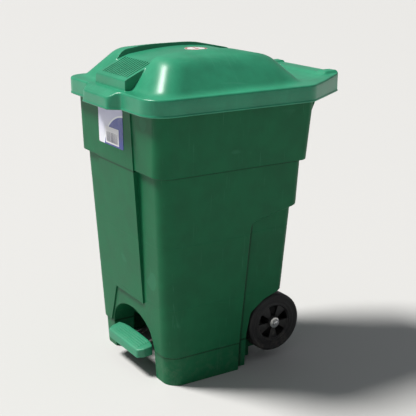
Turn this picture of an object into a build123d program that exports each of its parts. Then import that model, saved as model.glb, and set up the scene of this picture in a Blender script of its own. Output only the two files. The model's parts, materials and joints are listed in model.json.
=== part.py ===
from build123d import *
import math
import os

# Pedal wheelie bin, about 100 litres. Millimetres, +Z up, the pedal side faces -Y.
# Inside this file y is measured from the tub's front foot line; every piece is moved by
# ROW_SHIFT when it is written, so that the origin is the middle of the base.

# ------------------------------------------------------------------ driving dimensions
WALL = 3.2                 # moulded wall
RUN = 0.06                 # radial clearance of a shaft in its hole

FOOT_H = 76.5              # top of the plain foot band
FLOOR_Z = 200.0            # underside of the tub's floor
PANEL_Z = 195.0            # lower edge of the raised front panel
BAND_Z = 545.0             # underside of the band under the rim
RIM_Z = 730.0              # top edge of the tub
SHELF_Z = 688.0            # underside of the shelf behind the rim

# outline of the tub at two heights: (height, half width, front y, rear y)
FOOT = ((0.0, 187.0, 0.0, 350.0), (FOOT_H, 187.5, -4.0, 352.0))
BODY = ((FOOT_H, 190.5, -7.5, 353.0), (BAND_Z, 209.0, -31.0, 378.0))
BACK = ((FOOT_H, 174.5, -7.5, 338.0), (437.0, 188.5, -25.0, 367.0))
BAND = ((BAND_Z, 219.0, -41.5, 389.0), (RIM_Z, 229.0, -44.0, 404.0))
CORNER_FRONT = 38.0
CORNER_REAR = 22.0
STEP_R = 3.0               # rounding of the moulded steps

# raised front panel: (height, half width, front y)
PANEL_BEND_Z = 556.0       # the panel leans less above this height
PANEL = ((PANEL_Z, 82.0, -17.5), (PANEL_BEND_Z, 96.0, -44.8), (RIM_Z, 86.0, -46.5))
PANEL_BACK = 60.0          # y where the panel's block ends, inside the tub

ARCH_HALF_W = 113.0        # pedal arch
ARCH_SPRING_Z = 77.0
ARCH_RISE = 79.0
ARCH_DEPTH = 52.0          # how far the pedal recess goes back
ARCH_R = 1.5               # rounding of the arch's mouth

WHEEL_Y, WHEEL_Z = 325.0, 100.0
WHEEL_R = 79.0
TYRE_IN, TYRE_OUT = 132.0, 174.0
RIM_R = 54.0
HUB_R = 17.0
AXLE_R = 8.0
WELL_X = 122.0             # inner face of the wheel well's wall

# lid
LID_Z = 736.0              # top of the flange
LID_BASE = LID_Z - 4.5     # where the raised shapes start, inside the flange
LID_SKIRT = 42.0
LID_HALF_W = 240.0
LID_FRONT, LID_BEND, LID_REAR = -69.0, 384.0, 541.0
TAIL_HALF_W = 138.0
CROWN_Z = 819.0
STRIP_HALF_W = 80.0
LIP_FRONT = -95.0

HINGE_Y, HINGE_Z = 488.0, 708.0
HINGE_R = 5.0
GRIP_R = 13.0
EAR_X = 112.0              # inner face of the ears that hold the grip
LUG_X = 127.0              # inner face of the lid's hinge lugs

PIVOT_Y, PIVOT_Z = 110.0, 85.0
PIVOT_R = 5.0
LEVER_R = 6.0
LEVER_X = 36.0             # middle of each bar
PEDAL_SCREW_X = (-18, 18)
ROD_R = 5.0
ROD_FOOT = (374.0, 132.0)  # y, z of the lift rod's lower end
ROD_HEAD = (430.7, 668.0)  # y, z of its cross pin at rest
CRANK_SLOT_R = (51.5, 71.5)  # nearest and farthest the cross pin gets to the hinge
CRANK_SLOT_W = 11.0        # the pin needs this width because it travels straight
CRANK_SLOT_LAG = 1.75      # degrees the slot lies below the pin's rest place
CRANK_REACH = 81.5         # the crank swings inside this radius, clear of the rear wall
SHOE_R = 9.0

ROW_SHIFT = (LIP_FRONT + LID_REAR) / -2


# ------------------------------------------------------------------ helpers
def between(low, high, z):
    """Outline at height z on the straight line through two outlines."""
    part = (z - low[0]) / (high[0] - low[0])
    return [a + (b - a) * part for a, b in zip(low[1:], high[1:])]


def plate(half_w, front, rear, z, r_front, r_rear):
    """A flat rounded rectangle."""
    flat = Pos(0, (front + rear) / 2) * Rectangle(2 * half_w, rear - front)
    flat = fillet(flat.vertices().group_by(Axis.Y)[0], r_front)
    flat = fillet(flat.vertices().group_by(Axis.Y)[-1], r_rear)
    return Pos(0, 0, z) * flat


def taper(profile, inset, z0, z1):
    """Tapered solid between two heights, moved inwards by inset."""
    rings = []
    for z in (z0, z1):
        half_w, front, rear = between(*profile, z)
        rings.append(plate(half_w - inset, front + inset, rear - inset, z,
                           CORNER_FRONT - inset, CORNER_REAR - inset))
    return loft(rings, ruled=True)


def across(points, x0, x1, radius=0, at=()):
    """Outline in y and z, extruded from x0 to x1; the corners listed in at get the radius."""
    face = make_face(Polyline(*[(y, z) for y, z in points], close=True))
    if radius:
        picked = [v for v in face.vertices() for i in at
                  if abs(v.X - points[i][0]) < 0.01 and abs(v.Y - points[i][1]) < 0.01]
        face = fillet(picked, radius)
    solid = extrude(Plane.YZ.offset(x0) * face, x1 - x0)
    return solid


def cyl_x(y, z, r, x0, x1):
    """Cylinder along X."""
    return Pos((x0 + x1) / 2, y, z) * Rot(0, 90, 0) * Cylinder(r, abs(x1 - x0))


def tube_x(y, z, r_out, r_in, x0, x1):
    return cyl_x(y, z, r_out, x0, x1) - cyl_x(y, z, r_in, x0, x1)


def block(x0, x1, y0, y1, z0, z1):
    return Pos((x0 + x1) / 2, (y0 + y1) / 2, (z0 + z1) / 2) * Box(x1 - x0, y1 - y0, z1 - z0)


def both(solid):
    """The solid and its mirror image."""
    return [solid, mirror(solid, Plane.YZ)]


def write(name, solids):
    """Writes one sub-part, moved to the row frame."""
    solids = solids if isinstance(solids, list) else [solids]
    loose = [s for item in solids for s in item.solids()]
    moved = [Pos(0, ROW_SHIFT, 0) * s for s in loose]
    shape = moved[0] if len(moved) == 1 else Compound(children=moved)
    export_step(shape, f"parts/{name}.step")


# ------------------------------------------------------------------ tub
def side_zone(grow):
    """The rear part of both sides, which is set back; grow moves its edge outwards."""
    edge = [(203 - grow, -20), (206 - grow, 100), (229 - grow, 398 + grow),
            (425, 441 + grow), (425, -20)]
    return across(edge, -260, 260, 22, (2,))


def body_solid(inset, z0, z1):
    """Outer shape below the band, or the space inside it."""
    main = taper(BODY, inset, z0, z1)
    back = taper(BACK, inset, z0 - 5, 460)
    return main - (side_zone(inset) - back)


def step_edges(solid, profile):
    """Outer edges of the set-back zone, on the sides and across the rear."""
    picked = []
    for edge in solid.edges():
        middle = edge.center()
        half_w, _, rear = between(*profile, middle.Z)
        if middle.Y < 195 or middle.Z > 452 or edge.length < 5:
            continue
        on_side = abs(abs(middle.X) - half_w) < 1.0
        on_rear = abs(middle.Y - rear) < 1.0
        on_corner = middle.Y > rear - CORNER_REAR and abs(middle.X) > half_w - CORNER_REAR
        if on_side or (middle.Z > 420 and (on_rear or on_corner)):
            picked.append(edge)
    return picked


def rounded_body():
    body = body_solid(0, FOOT_H, BAND_Z + 1)
    body = fillet(step_edges(body, BODY), STEP_R)
    return fillet(body.edges().group_by(Axis.Z)[0], STEP_R / 2)


def panel_solid(inset, z0, z1):
    """Block whose front is the raised panel, moved inwards by inset."""
    rings = []
    for z in (z0, PANEL_BEND_Z, z1):
        low, high = PANEL[:2] if z <= PANEL_BEND_Z else PANEL[1:]
        half_w, front = between(low, high, z)
        front = front + inset
        ring = Rectangle(2 * (half_w - inset), PANEL_BACK - front)
        rings.append(Pos(0, (front + PANEL_BACK) / 2, z) * ring)
    return loft(rings, ruled=True)


def arch_face(grow):
    """Outline of the pedal arch: straight legs under half an ellipse."""
    oval = Pos(0, ARCH_SPRING_Z) * Ellipse(ARCH_HALF_W + grow, ARCH_RISE + grow)
    legs = Pos(0, ARCH_SPRING_Z / 2 - 15) * Rectangle(2 * (ARCH_HALF_W + grow), ARCH_SPRING_Z + 30)
    return oval + legs


def arch_solid(grow, y0, y1):
    return Pos(0, y1, 0) * extrude(Plane.XZ * arch_face(grow), y1 - y0)


def well_solid(grow):
    """Space of one wheel well, on the +X side."""
    edge = [(231 - grow, -30), (235 - grow, 90), (246 - grow, 146 + grow), (286, 176 + grow),
            (345, 196 + grow), (430, 220 + grow), (430, -30)]
    return across(edge, WELL_X + WALL - grow, 270, 20, (2, 3))


def tub_outer():
    """Tub with its band, panel, foot and rear shelf, before it is hollowed."""
    foot = taper(FOOT, 0, 0, FOOT_H)
    foot_back = taper(BACK, 0, -5, FOOT_H + 5)
    foot = foot - (side_zone(0) - foot_back)
    upright = [e for e in step_edges(foot, FOOT) if abs(e.center().Z - FOOT_H / 2) < 5]
    foot = fillet(upright, STEP_R)
    band = taper(BAND, 0, BAND_Z, RIM_Z)
    band = fillet(band.edges().group_by(Axis.Z)[0], STEP_R)
    outer = foot + rounded_body() + band
    face_zone = Plane.XZ * make_face(Polyline(
        (-123, FOOT_H), (-74, PANEL_Z), (74, PANEL_Z), (123, FOOT_H), close=True))
    recess = Pos(0, 60, 0) * extrude(face_zone, 120) - taper(FOOT, 0, FOOT_H - 1, PANEL_Z + 5)
    outer = outer - recess
    outer = outer + (panel_solid(0, PANEL_Z, RIM_Z) - block(-120, 120, 30, 80, 0, 800))
    return outer + rear_shelf()


def rear_shelf():
    """Shelf behind the rim, its ribs, and the ears that hold the grip."""
    shelf = block(-196, 196, 380, 432, SHELF_Z, SHELF_Z + WALL)
    shelf = shelf - block(-16, 16, 404.5, 440, SHELF_Z - 1, SHELF_Z + WALL + 1)
    corner_rib = across([(380, 596), (392, 606), (407, 636), (432, SHELF_Z), (380, SHELF_Z)], 180, 185)
    inner_rib = across([(380, 596), (394, 606), (411, 640), (432, SHELF_Z), (380, SHELF_Z)], 148, 153)
    ear_edge = [(385, 630), (400, 630), (474, 694), (503, 694), (503, 721), (474, 723), (385, 723)]
    ear = across(ear_edge, EAR_X, EAR_X + 12, 12, (3, 4))
    solid = shelf
    for rib in (corner_rib, inner_rib, ear):
        for side in both(rib):
            solid = solid + side
    return solid


def tub_inside():
    """The space that holds the rubbish."""
    low = body_solid(WALL, FLOOR_Z + WALL, BAND_Z + WALL + 1)
    high = taper(BAND, WALL, BAND_Z + WALL, RIM_Z + 10)
    pocket = panel_solid(WALL, FLOOR_Z + WALL, RIM_Z + 10)
    pocket = pocket - block(-120, 120, 10, 80, 0, 800)
    return low + high + pocket


def tub_under():
    """The open space under the floor, less the walls of the wheel wells and pedal recess."""
    foot = taper(FOOT, WALL, -1, FOOT_H + WALL)
    foot = foot - (side_zone(WALL) - taper(BACK, WALL, -6, FOOT_H + 15))
    space = foot + body_solid(WALL, FOOT_H + 0.5, FLOOR_Z)
    front = Pos(0, 60, 0) * extrude(Plane.XZ * (Pos(0, 130) * Rectangle(252, 150)), 120)
    space = space - (front - taper(FOOT, WALL, -1, FLOOR_Z + 1))
    for well in both(well_solid(WALL)):
        space = space - well
    return space - arch_solid(WALL, -60, ARCH_DEPTH + WALL)


def edges_at(solid, middle, shortest):
    """Edges whose middle is at a point, or at its mirror image."""
    found = []
    for edge in solid.edges():
        c = edge.center()
        if edge.length > shortest and Vector(abs(c.X), c.Y, c.Z).sub(Vector(*middle)).length < 2:
            found.append(edge)
    return found


def rounded_arch(tub):
    """Rounds the mouth of the pedal arch and the ridges that run up beside it."""
    crown = (0, -8.2, ARCH_SPRING_Z + ARCH_RISE)
    leg = (ARCH_HALF_W, -2.1, ARCH_SPRING_Z / 2)
    tub = fillet(edges_at(tub, crown, 70) + edges_at(tub, leg, 70), ARCH_R)
    ridge = (98.2, -10.5, (FOOT_H + PANEL_Z) / 2)
    return fillet(edges_at(tub, ridge, 70), ARCH_R - 0.3)


def make_tub():
    tub = tub_outer() - tub_inside() - tub_under()
    for well in both(well_solid(0)):
        tub = tub - well
    tub = tub - arch_solid(0, -60, ARCH_DEPTH)
    tub = rounded_arch(tub)
    back_door = arch_solid(0, ARCH_DEPTH - 1, ARCH_DEPTH + WALL + 1)
    tub = tub - (back_door - block(-140, 140, 0, 90, 96, 200))
    tub = tub - block(-WELL_X + 4, WELL_X - 4, 318, 380, -5, 62)
    tub = tub - block(-58, 58, 318, 380, 50, FLOOR_Z)
    for side in both(block(WELL_X - 1, WELL_X + 6, 276, 380, -5, 24)):
        tub = tub - side
    tub = tub - cyl_x(WHEEL_Y, WHEEL_Z, AXLE_R + RUN, -200, 200)
    tub = tub - cyl_x(HINGE_Y, HINGE_Z, HINGE_R + RUN, -200, 200)
    for x, y in bracket_screw_places():
        tub = tub + Pos(x, y, FLOOR_Z + WALL + 5) * Cylinder(7, 12)
        tub = tub - Pos(x, y, FLOOR_Z + 5) * Cylinder(2.5, 12)
    for x, y, z in guide_screw_places():
        tub = tub + Pos(x, y - 8, z) * Rot(90, 0, 0) * Cylinder(7, 16)
        tub = tub - Pos(x, y - 6, z) * Rot(90, 0, 0) * Cylinder(2.5, 18)
    return tub


# ------------------------------------------------------------------ lid
def lid_outline(inset, z):
    """Plan of the lid: rounded at the front, drawn in at the tail."""
    drop = inset * 0.33
    points = [(-LID_HALF_W + inset, LID_FRONT + inset), (LID_HALF_W - inset, LID_FRONT + inset),
              (LID_HALF_W - inset, LID_BEND - drop), (TAIL_HALF_W - inset * 0.7, LID_REAR - inset),
              (-TAIL_HALF_W + inset * 0.7, LID_REAR - inset), (-LID_HALF_W + inset, LID_BEND - drop)]
    face = make_face(Polyline(*points, close=True))
    rows = face.vertices().group_by(Axis.Y)
    face = fillet(rows[0], 57 - inset)
    face = fillet(face.vertices().group_by(Axis.Y)[-1], 14 - inset)
    bends = [v for v in face.vertices() if abs(v.Y - (LID_BEND - drop)) < 0.01]
    face = fillet(bends, 60)
    return Pos(0, 0, z) * face


def trapezoid(front, rear, w_front, w_rear, r, z_front, z_rear):
    """Rounded trapezoid, tilted from z_front down to z_rear."""
    corners = [(-w_front, front), (w_front, front), (w_rear, rear), (-w_rear, rear)]
    face = make_face(Polyline(*corners, close=True))
    face = fillet(face.vertices(), r)
    tilt = math.degrees(math.atan2(z_rear - z_front, rear - front))
    return Pos(0, front, z_front) * Rot(tilt, 0, 0) * Pos(0, -front, 0) * face


def dome_solid(inset):
    foot = trapezoid(-36 + inset, 398 - inset, 226 - inset, 196 - inset, 46, LID_BASE, LID_BASE)
    crest = trapezoid(22 + inset, 348 - inset, 156 - inset, 142 - inset, 46, 808 - inset, 794 - inset)
    crown = trapezoid(92, 236, 92, 90, 30, CROWN_Z - inset, CROWN_Z - 2 - inset)
    lower = loft([foot, crest], ruled=True)
    return lower + loft([crest, crown], ruled=True)


def strip_line(inset):
    """Top of the sunk band along the middle of the lid; the thumb pad is its front end."""
    return [(-52 + inset, 760 - inset), (34 + inset, 800 - inset), (110, 810 - inset), (190, 813.5 - inset),
            (262, 809 - inset), (348 - inset, 790 - inset), (390 - inset, LID_BASE)]


def strip_solid(inset):
    edge = [(-52 + inset, LID_BASE)] + strip_line(inset)
    return across(edge, -STRIP_HALF_W + inset, STRIP_HALF_W - inset)


def above_strip(inset):
    """Everything over the sunk band, which the dome leaves free."""
    edge = [(-100, 760 - inset)] + strip_line(inset) + [(450, LID_BASE), (450, 900), (-100, 900)]
    return across(edge, -STRIP_HALF_W - inset, STRIP_HALF_W + inset)


def lip_solid(inset):
    low = LID_Z - LID_SKIRT
    low = low - 1 if inset else low
    root = [(-87 + inset, low), (87 - inset, low), (87 - inset, LID_Z - inset), (-87 + inset, LID_Z - inset)]
    nose = [(-74 + inset, low), (74 - inset, low), (68 - inset, 722 - inset), (-68 + inset, 722 - inset)]
    faces = [Pos(0, -62, 0) * (Plane.XZ * make_face(Polyline(*root, close=True))),
             Pos(0, LIP_FRONT + inset, 0) * (Plane.XZ * make_face(Polyline(*nose, close=True)))]
    return loft(faces, ruled=True)


def tail_solid(inset):
    """Hump over the grip with a knuckle at each end."""
    hump = across([(488 + inset, LID_BASE), (502 + inset, 743 - inset), (536 - inset, 743 - inset),
                   (541 - inset, 738 - inset), (541 - inset, LID_BASE)], -126, 126)
    knuckle = across([(494 + inset, LID_BASE), (512 + inset, 747 - inset), (534 - inset, 747 - inset),
                      (540 - inset, 738 - inset), (540 - inset, LID_BASE)], 100 + inset, 136 - inset)
    for side in both(knuckle):
        hump = hump + side
    return hump


def lid_shape(inset, z0):
    slab = extrude(lid_outline(inset, z0), LID_Z - inset - z0)
    dome = dome_solid(inset) - above_strip(inset)
    return slab + dome + strip_solid(inset) + lip_solid(inset) + tail_solid(inset)


def make_lid():
    skirt_z = LID_Z - LID_SKIRT
    lid = lid_shape(0, skirt_z) - lid_shape(WALL, skirt_z - 1)
    lug = across([(472, 734), (472, 700), (479, 698), (497, 698), (504, 700), (504, 734)],
                 LUG_X, LUG_X + 8, 3, (2, 3))
    for side in both(lug):
        lid = lid + side
    lid = lid - cyl_x(HINGE_Y, HINGE_Z, HINGE_R + RUN, -LUG_X - 10, LUG_X + 10)
    boss = block(-14, 14, 414, 462, 724, 734)
    lid = lid + boss
    for x, y in crank_screw_places():
        lid = lid - Pos(x, y, 726) * Cylinder(2, 14)
    return lid


def crank_screw_places():
    return [(x, y) for x in (-9, 9) for y in (421, 455)]


def crank_slot_solid():
    """Slot along the crank, in line with the hinge, for the lift rod's cross pin."""
    angle = math.degrees(math.atan2(ROD_HEAD[1] - HINGE_Z, HINGE_Y - ROD_HEAD[0]))
    mid = sum(CRANK_SLOT_R) / 2
    length = CRANK_SLOT_R[1] - CRANK_SLOT_R[0]
    face = Pos(-mid, 0) * SlotOverall(length + CRANK_SLOT_W, CRANK_SLOT_W)
    slot = extrude(Plane.YZ.offset(-6) * face, 12)
    return Pos(0, HINGE_Y, HINGE_Z) * Rot(CRANK_SLOT_LAG - angle, 0, 0) * slot


def make_crank():
    """Crank under the tail: a flange on the lid and a slotted web."""
    flange = block(-14, 14, 414, 462, 720, 723.9)
    web = across([(418, 721), (458, 721), (456, 704), (441, 686), (450, 678),
                  (432, 652), (415, 660), (412, 690)], -3, 3, 6, (4, 5, 6))
    web = web & cyl_x(HINGE_Y, HINGE_Z, CRANK_REACH, -4, 4)
    crank = flange + web - crank_slot_solid()
    for x, y in crank_screw_places():
        crank = crank - Pos(x, y, 722) * Cylinder(2.3, 8)
    return crank


def pan_screw(r, length, head_r, head_h):
    """Screw pointing down with its head's underside at z = 0, with a cross recess."""
    head = Pos(0, 0, head_h / 2) * Cylinder(head_r, head_h)
    head = fillet(head.edges().group_by(Axis.Z)[-1], head_h * 0.45)
    long, thin = head_r * 1.1, head_r * 0.26
    cross = Box(long, thin, head_h) + Box(thin, long, head_h)
    return head - Pos(0, 0, head_h) * cross + Pos(0, 0, -length / 2) * Cylinder(r, length)


def make_crank_screws():
    screw = Rot(180, 0, 0) * pan_screw(1.96, 9, 3.8, 2.6)
    return [Pos(x, y, 720) * screw for x, y in crank_screw_places()]


def lid_buffer_places():
    return [(x, y) for x in (-226, 226) for y in (60, 300)]


def make_lid_buffers():
    """Soft studs pressed into the flange that meet the rim."""
    return [block(x - 5, x + 5, y - 9, y + 9, RIM_Z + 0.3, LID_Z - WALL)
            for x, y in lid_buffer_places()]


# ------------------------------------------------------------------ hinge and grip
def make_hinge_rod():
    return cyl_x(HINGE_Y, HINGE_Z, HINGE_R, -142, 142)


def make_rod_caps():
    cap = tube_x(HINGE_Y, HINGE_Z, 9, HINGE_R, 136.5, 142) + cyl_x(HINGE_Y, HINGE_Z, 9, 142, 144)
    return both(cap)


def make_grip():
    grip = cyl_x(HINGE_Y, HINGE_Z, GRIP_R, -EAR_X, EAR_X) - cyl_x(HINGE_Y, HINGE_Z, HINGE_R, -EAR_X, EAR_X)
    for i in range(17):
        x = (i - 8) * 11
        ring = tube_x(HINGE_Y, HINGE_Z, GRIP_R + 1, GRIP_R - 0.9, x - 1.2, x + 1.2)
        grip = grip - ring
    return grip


# ------------------------------------------------------------------ pedal mechanism
def make_pedal():
    """Foot plate: drawn in towards the front, grooved on top, with a turned-down edge."""
    plan = make_face(Polyline((-94, 10), (94, 10), (92, -22), (82, -38), (-82, -38), (-92, -22), close=True))
    plan = fillet([v for v in plan.vertices() if v.Y < -1], 7)
    slope = across([(12, 81.0), (12, 56), (-40, 50), (-40, 68.5), (-36, 72)], -100, 100)
    pedal = extrude(plan, 120) & slope
    inner = Pos(0, -14, 0) * scale(Pos(0, 14, 0) * plan, (0.915, 0.8, 1))
    hollow = extrude(inner, 120) & across([(20, 75), (20, 40), (-50, 40), (-50, 62)], -100, 100)
    pedal = pedal - hollow - block(-50, 50, -20, 15, 40, 62.9) - block(-50, 50, 4.1, 15, 40, 67)
    for i in range(5):
        y = -27 + i * 7
        z = 72 + (y + 36) * 9 / 48
        pedal = pedal - Pos(0, y, z + 0.5) * Rot(10.6, 0, 0) * Box(142 - 6 * abs(i - 2), 2.2, 3.4)
    for x in PEDAL_SCREW_X:
        pedal = pedal + block(x - 8, x + 8, -24, 0, 63, 74)
        pedal = pedal - Pos(x, -12, 66) * Cylinder(2, 12)
    return pedal


def lever_path(x):
    side_view = [(-28, 56.5), (8, 56.5), (52, 69), (92, 97), (150, 108), (300, 122), (392, 124)]
    return [(x, y, z) for y, z in side_view]


def rod_along(points, r, bend):
    """Round bar through the points, with bends of one radius."""
    path = FilletPolyline(*points, radius=bend)
    start = Plane(origin=points[0], z_dir=Vector(*points[1]) - Vector(*points[0]))
    return sweep(start * Circle(r), path)


def make_lever():
    """Two bent steel bars welded to a pivot tube, a foot plate in front and a push plate behind."""
    lever = tube_x(PIVOT_Y, PIVOT_Z, 10, PIVOT_R + RUN, -46, 46)
    for x in (-LEVER_X, LEVER_X):
        lever = lever + rod_along(lever_path(x), LEVER_R, 20)
    lever = lever - cyl_x(PIVOT_Y, PIVOT_Z, PIVOT_R + RUN, -60, 60)
    lever = lever + block(-46, 46, -24, 0, 60, 62.8)
    lever = lever + block(-46, 46, 352, 396, 126, 131)
    lever = lever - cyl_x(PIVOT_Y, PIVOT_Z, PIVOT_R + RUN, -60, 60)
    for x in PEDAL_SCREW_X:
        lever = lever - Pos(x, -12, 61) * Cylinder(2.3, 8)
    return lever


def make_pedal_screws():
    screw = Rot(180, 0, 0) * pan_screw(1.96, 10, 3.8, 2.6)
    return [Pos(x, -12, 59.9) * screw for x in PEDAL_SCREW_X]


def bracket_screw_places():
    return [(x, PIVOT_Y + dy) for x in (-64, 64) for dy in (-18, 18)]


def make_bracket():
    """Pivot bracket on the +X side: a web with the pivot hole under a screwed flange."""
    web = across([(PIVOT_Y - 30, FLOOR_Z - 0.1), (PIVOT_Y - 13, PIVOT_Z - 6), (PIVOT_Y - 6, PIVOT_Z - 13),
                  (PIVOT_Y + 6, PIVOT_Z - 13), (PIVOT_Y + 13, PIVOT_Z - 6), (PIVOT_Y + 30, FLOOR_Z - 0.1)],
                 48, 52)
    bracket = web + block(48, 76, PIVOT_Y - 30, PIVOT_Y + 30, FLOOR_Z - 4.1, FLOOR_Z - 0.1)
    bracket = bracket - cyl_x(PIVOT_Y, PIVOT_Z, PIVOT_R + RUN, 40, 60)
    for x, y in bracket_screw_places():
        bracket = bracket - Pos(x, y, FLOOR_Z) * Cylinder(2.8, 20)
    return bracket


def make_bracket_screws():
    screw = Rot(180, 0, 0) * pan_screw(2.45, 13, 4.6, 3)
    return [Pos(x, y, FLOOR_Z - 4.2) * screw for x, y in bracket_screw_places()]


def make_pivot_rod():
    return cyl_x(PIVOT_Y, PIVOT_Z, PIVOT_R, -60, 60)


def make_pivot_clips():
    ring = tube_x(PIVOT_Y, PIVOT_Z, 8.5, PIVOT_R, 52.6, 54.2)
    return both(ring - block(50, 56, PIVOT_Y - 2.2, PIVOT_Y + 2.2, 60, PIVOT_Z))


# ------------------------------------------------------------------ lift rod
def rod_axis():
    run = Vector(0, ROD_HEAD[0] - ROD_FOOT[0], ROD_HEAD[1] - ROD_FOOT[1])
    return run.normalized(), run.length


def on_rod(distance):
    """Plane square to the lift rod at a distance up from its foot."""
    along, _ = rod_axis()
    return Plane(origin=Vector(0, *ROD_FOOT) + along * distance, x_dir=(1, 0, 0), z_dir=along)


def rod_piece(start, end, r_out, r_in=0):
    face = Circle(r_out) - Circle(r_in) if r_in else Circle(r_out)
    return extrude(on_rod(start) * face, end - start)


def make_lift_rod():
    return rod_piece(SHOE_R, rod_axis()[1] - 22, ROD_R)


def make_rod_foot():
    """Plastic shoe that slides on the lever's push plate."""
    middle = on_rod(SHOE_R - 0.6)
    shoe = Pos(*middle.origin) * Sphere(SHOE_R) + rod_piece(SHOE_R - 0.6, 26, SHOE_R)
    return shoe - rod_piece(SHOE_R, 30, ROD_R)


def make_yoke():
    """Fork at the rod's head; its cross pin runs in the crank's slot."""
    top = rod_axis()[1]
    body = extrude(on_rod(top - 42) * RectangleRounded(22, 15, 3), 51) - rod_piece(top - 60, top - 22, ROD_R)
    slot = extrude(on_rod(top - 17) * Rectangle(7.4, 30), 40)
    body = body - slot
    return body - cyl_x(*ROD_HEAD, 3.0, -20, 20)


def make_yoke_pin():
    return cyl_x(*ROD_HEAD, 3.0, -13, 13)


def wall_y(z):
    """Outer face of the rear wall at a height."""
    if z < 437:
        return between(*BACK, z)[2]
    return between(*BODY, z)[2] if z < BAND_Z else between(*BAND, z)[2]


GUIDE_Z = (262.0, 600.0)


def rod_y(z):
    part = (z - ROD_FOOT[1]) / (ROD_HEAD[1] - ROD_FOOT[1])
    return ROD_FOOT[0] + (ROD_HEAD[0] - ROD_FOOT[0]) * part


def guide_screw_places():
    return [(x, wall_y(z), z) for z in GUIDE_Z for x in (-26, 26)]


def make_guide(z):
    """Guide block on the rear wall with the hole that the lift rod slides in."""
    wall = wall_y(z)
    face = wall + 1.6
    guide = block(-38, 38, face, face + 5, z - 14, z + 14)
    guide = guide + block(-13, 13, face, rod_y(z) + 12, z - 11, z + 11)
    guide = guide - rod_piece(20, rod_axis()[1] - 20, ROD_R + RUN)
    for x in (-26, 26):
        guide = guide - Pos(x, face, z) * Rot(90, 0, 0) * Cylinder(2.8, 30)
    return guide


def make_guide_screws():
    screw = Rot(-90, 0, 0) * pan_screw(2.45, 16, 4.6, 3)
    return [Pos(x, y + 6.7, z) * screw for x, y, z in guide_screw_places()]


# ------------------------------------------------------------------ wheels
def make_axle():
    axle = cyl_x(WHEEL_Y, WHEEL_Z, AXLE_R, -TYRE_OUT, TYRE_OUT)
    for side in both(cyl_x(WHEEL_Y, WHEEL_Z, 4.0, TYRE_OUT - 26, TYRE_OUT + 1)):
        axle = axle - side
    return axle


def window(start):
    """One opening between two spokes, as a sector."""
    half = math.radians(18)
    inner, outer = 19.0, 46.0
    rim = [(r * math.cos(start + s * half), r * math.sin(start + s * half))
           for r, s in ((inner, -1), (outer, -1), (outer, 1), (inner, 1))]
    mid = (outer * math.cos(start), outer * math.sin(start))
    edge = Line(rim[0], rim[1]) + ThreePointArc(rim[1], mid, rim[2])
    edge = edge + Line(rim[2], rim[3]) + Line(rim[3], rim[0])
    return fillet(make_face(edge).vertices(), 2.5)


def make_rim():
    """Wheel centre on the +X side: hub, web with five openings, and the ring under the tyre."""
    y, z = WHEEL_Y, WHEEL_Z
    rim = tube_x(y, z, RIM_R, RIM_R - 6, TYRE_IN + 1, TYRE_OUT - 1)
    rim = rim + cyl_x(y, z, RIM_R - 3, TYRE_OUT - 12, TYRE_OUT - 5)
    rim = rim + cyl_x(y, z, HUB_R, TYRE_IN - 1.5, TYRE_OUT - 0.5)
    for i in range(5):
        cut = Plane.YZ.offset(TYRE_IN - 5) * window(math.radians(72 * i + 90))
        rim = rim - Pos(0, y, z) * extrude(cut, 60)
    return rim - cyl_x(y, z, 11.0, 100, 200)


def make_tyre():
    tread = [(TYRE_IN, RIM_R), (TYRE_IN, WHEEL_R - 5), (TYRE_IN + 6, WHEEL_R), (TYRE_OUT - 6, WHEEL_R),
             (TYRE_OUT, WHEEL_R - 5), (TYRE_OUT, RIM_R)]
    face = make_face(Polyline(*tread, close=True))
    ring = revolve(face, Axis.X)
    return Pos(0, WHEEL_Y, WHEEL_Z) * ring


def make_wheel_bush():
    return tube_x(WHEEL_Y, WHEEL_Z, 11.0, AXLE_R + RUN, TYRE_IN - 1.5, TYRE_OUT - 0.5)


def make_axle_spacers():
    return both(tube_x(WHEEL_Y, WHEEL_Z, 15, AXLE_R + 0.05, WELL_X + WALL + 0.2, TYRE_IN - 1.9))


def make_axle_washers():
    return both(tube_x(WHEEL_Y, WHEEL_Z, 14, 4.1, TYRE_OUT, TYRE_OUT + 2))


def make_axle_bolts():
    head = extrude(Plane.YZ.offset(TYRE_OUT + 2) * RegularPolygon(7.5, 6), 5.5)
    crown = cyl_x(0, 0, 6.4, TYRE_OUT + 7.5, TYRE_OUT + 8.3)
    bolt = head + crown + cyl_x(0, 0, 4.0, TYRE_OUT - 24, TYRE_OUT + 2)
    return both(Pos(0, WHEEL_Y, WHEEL_Z) * bolt)


# ------------------------------------------------------------------ labels
def make_front_label():
    lean = math.degrees(math.atan2(PANEL[2][2] - PANEL[1][2], PANEL[2][0] - PANEL[1][0]))
    z = 636.0
    _, front = between(PANEL[1], PANEL[2], z)
    return Pos(-16, front - 0.35, z) * Rot(-lean, 0, 0) * Box(134, 0.5, 98)


def make_lid_label():
    return Pos(0, 190, 813.95) * Cylinder(29, 0.5)


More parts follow.
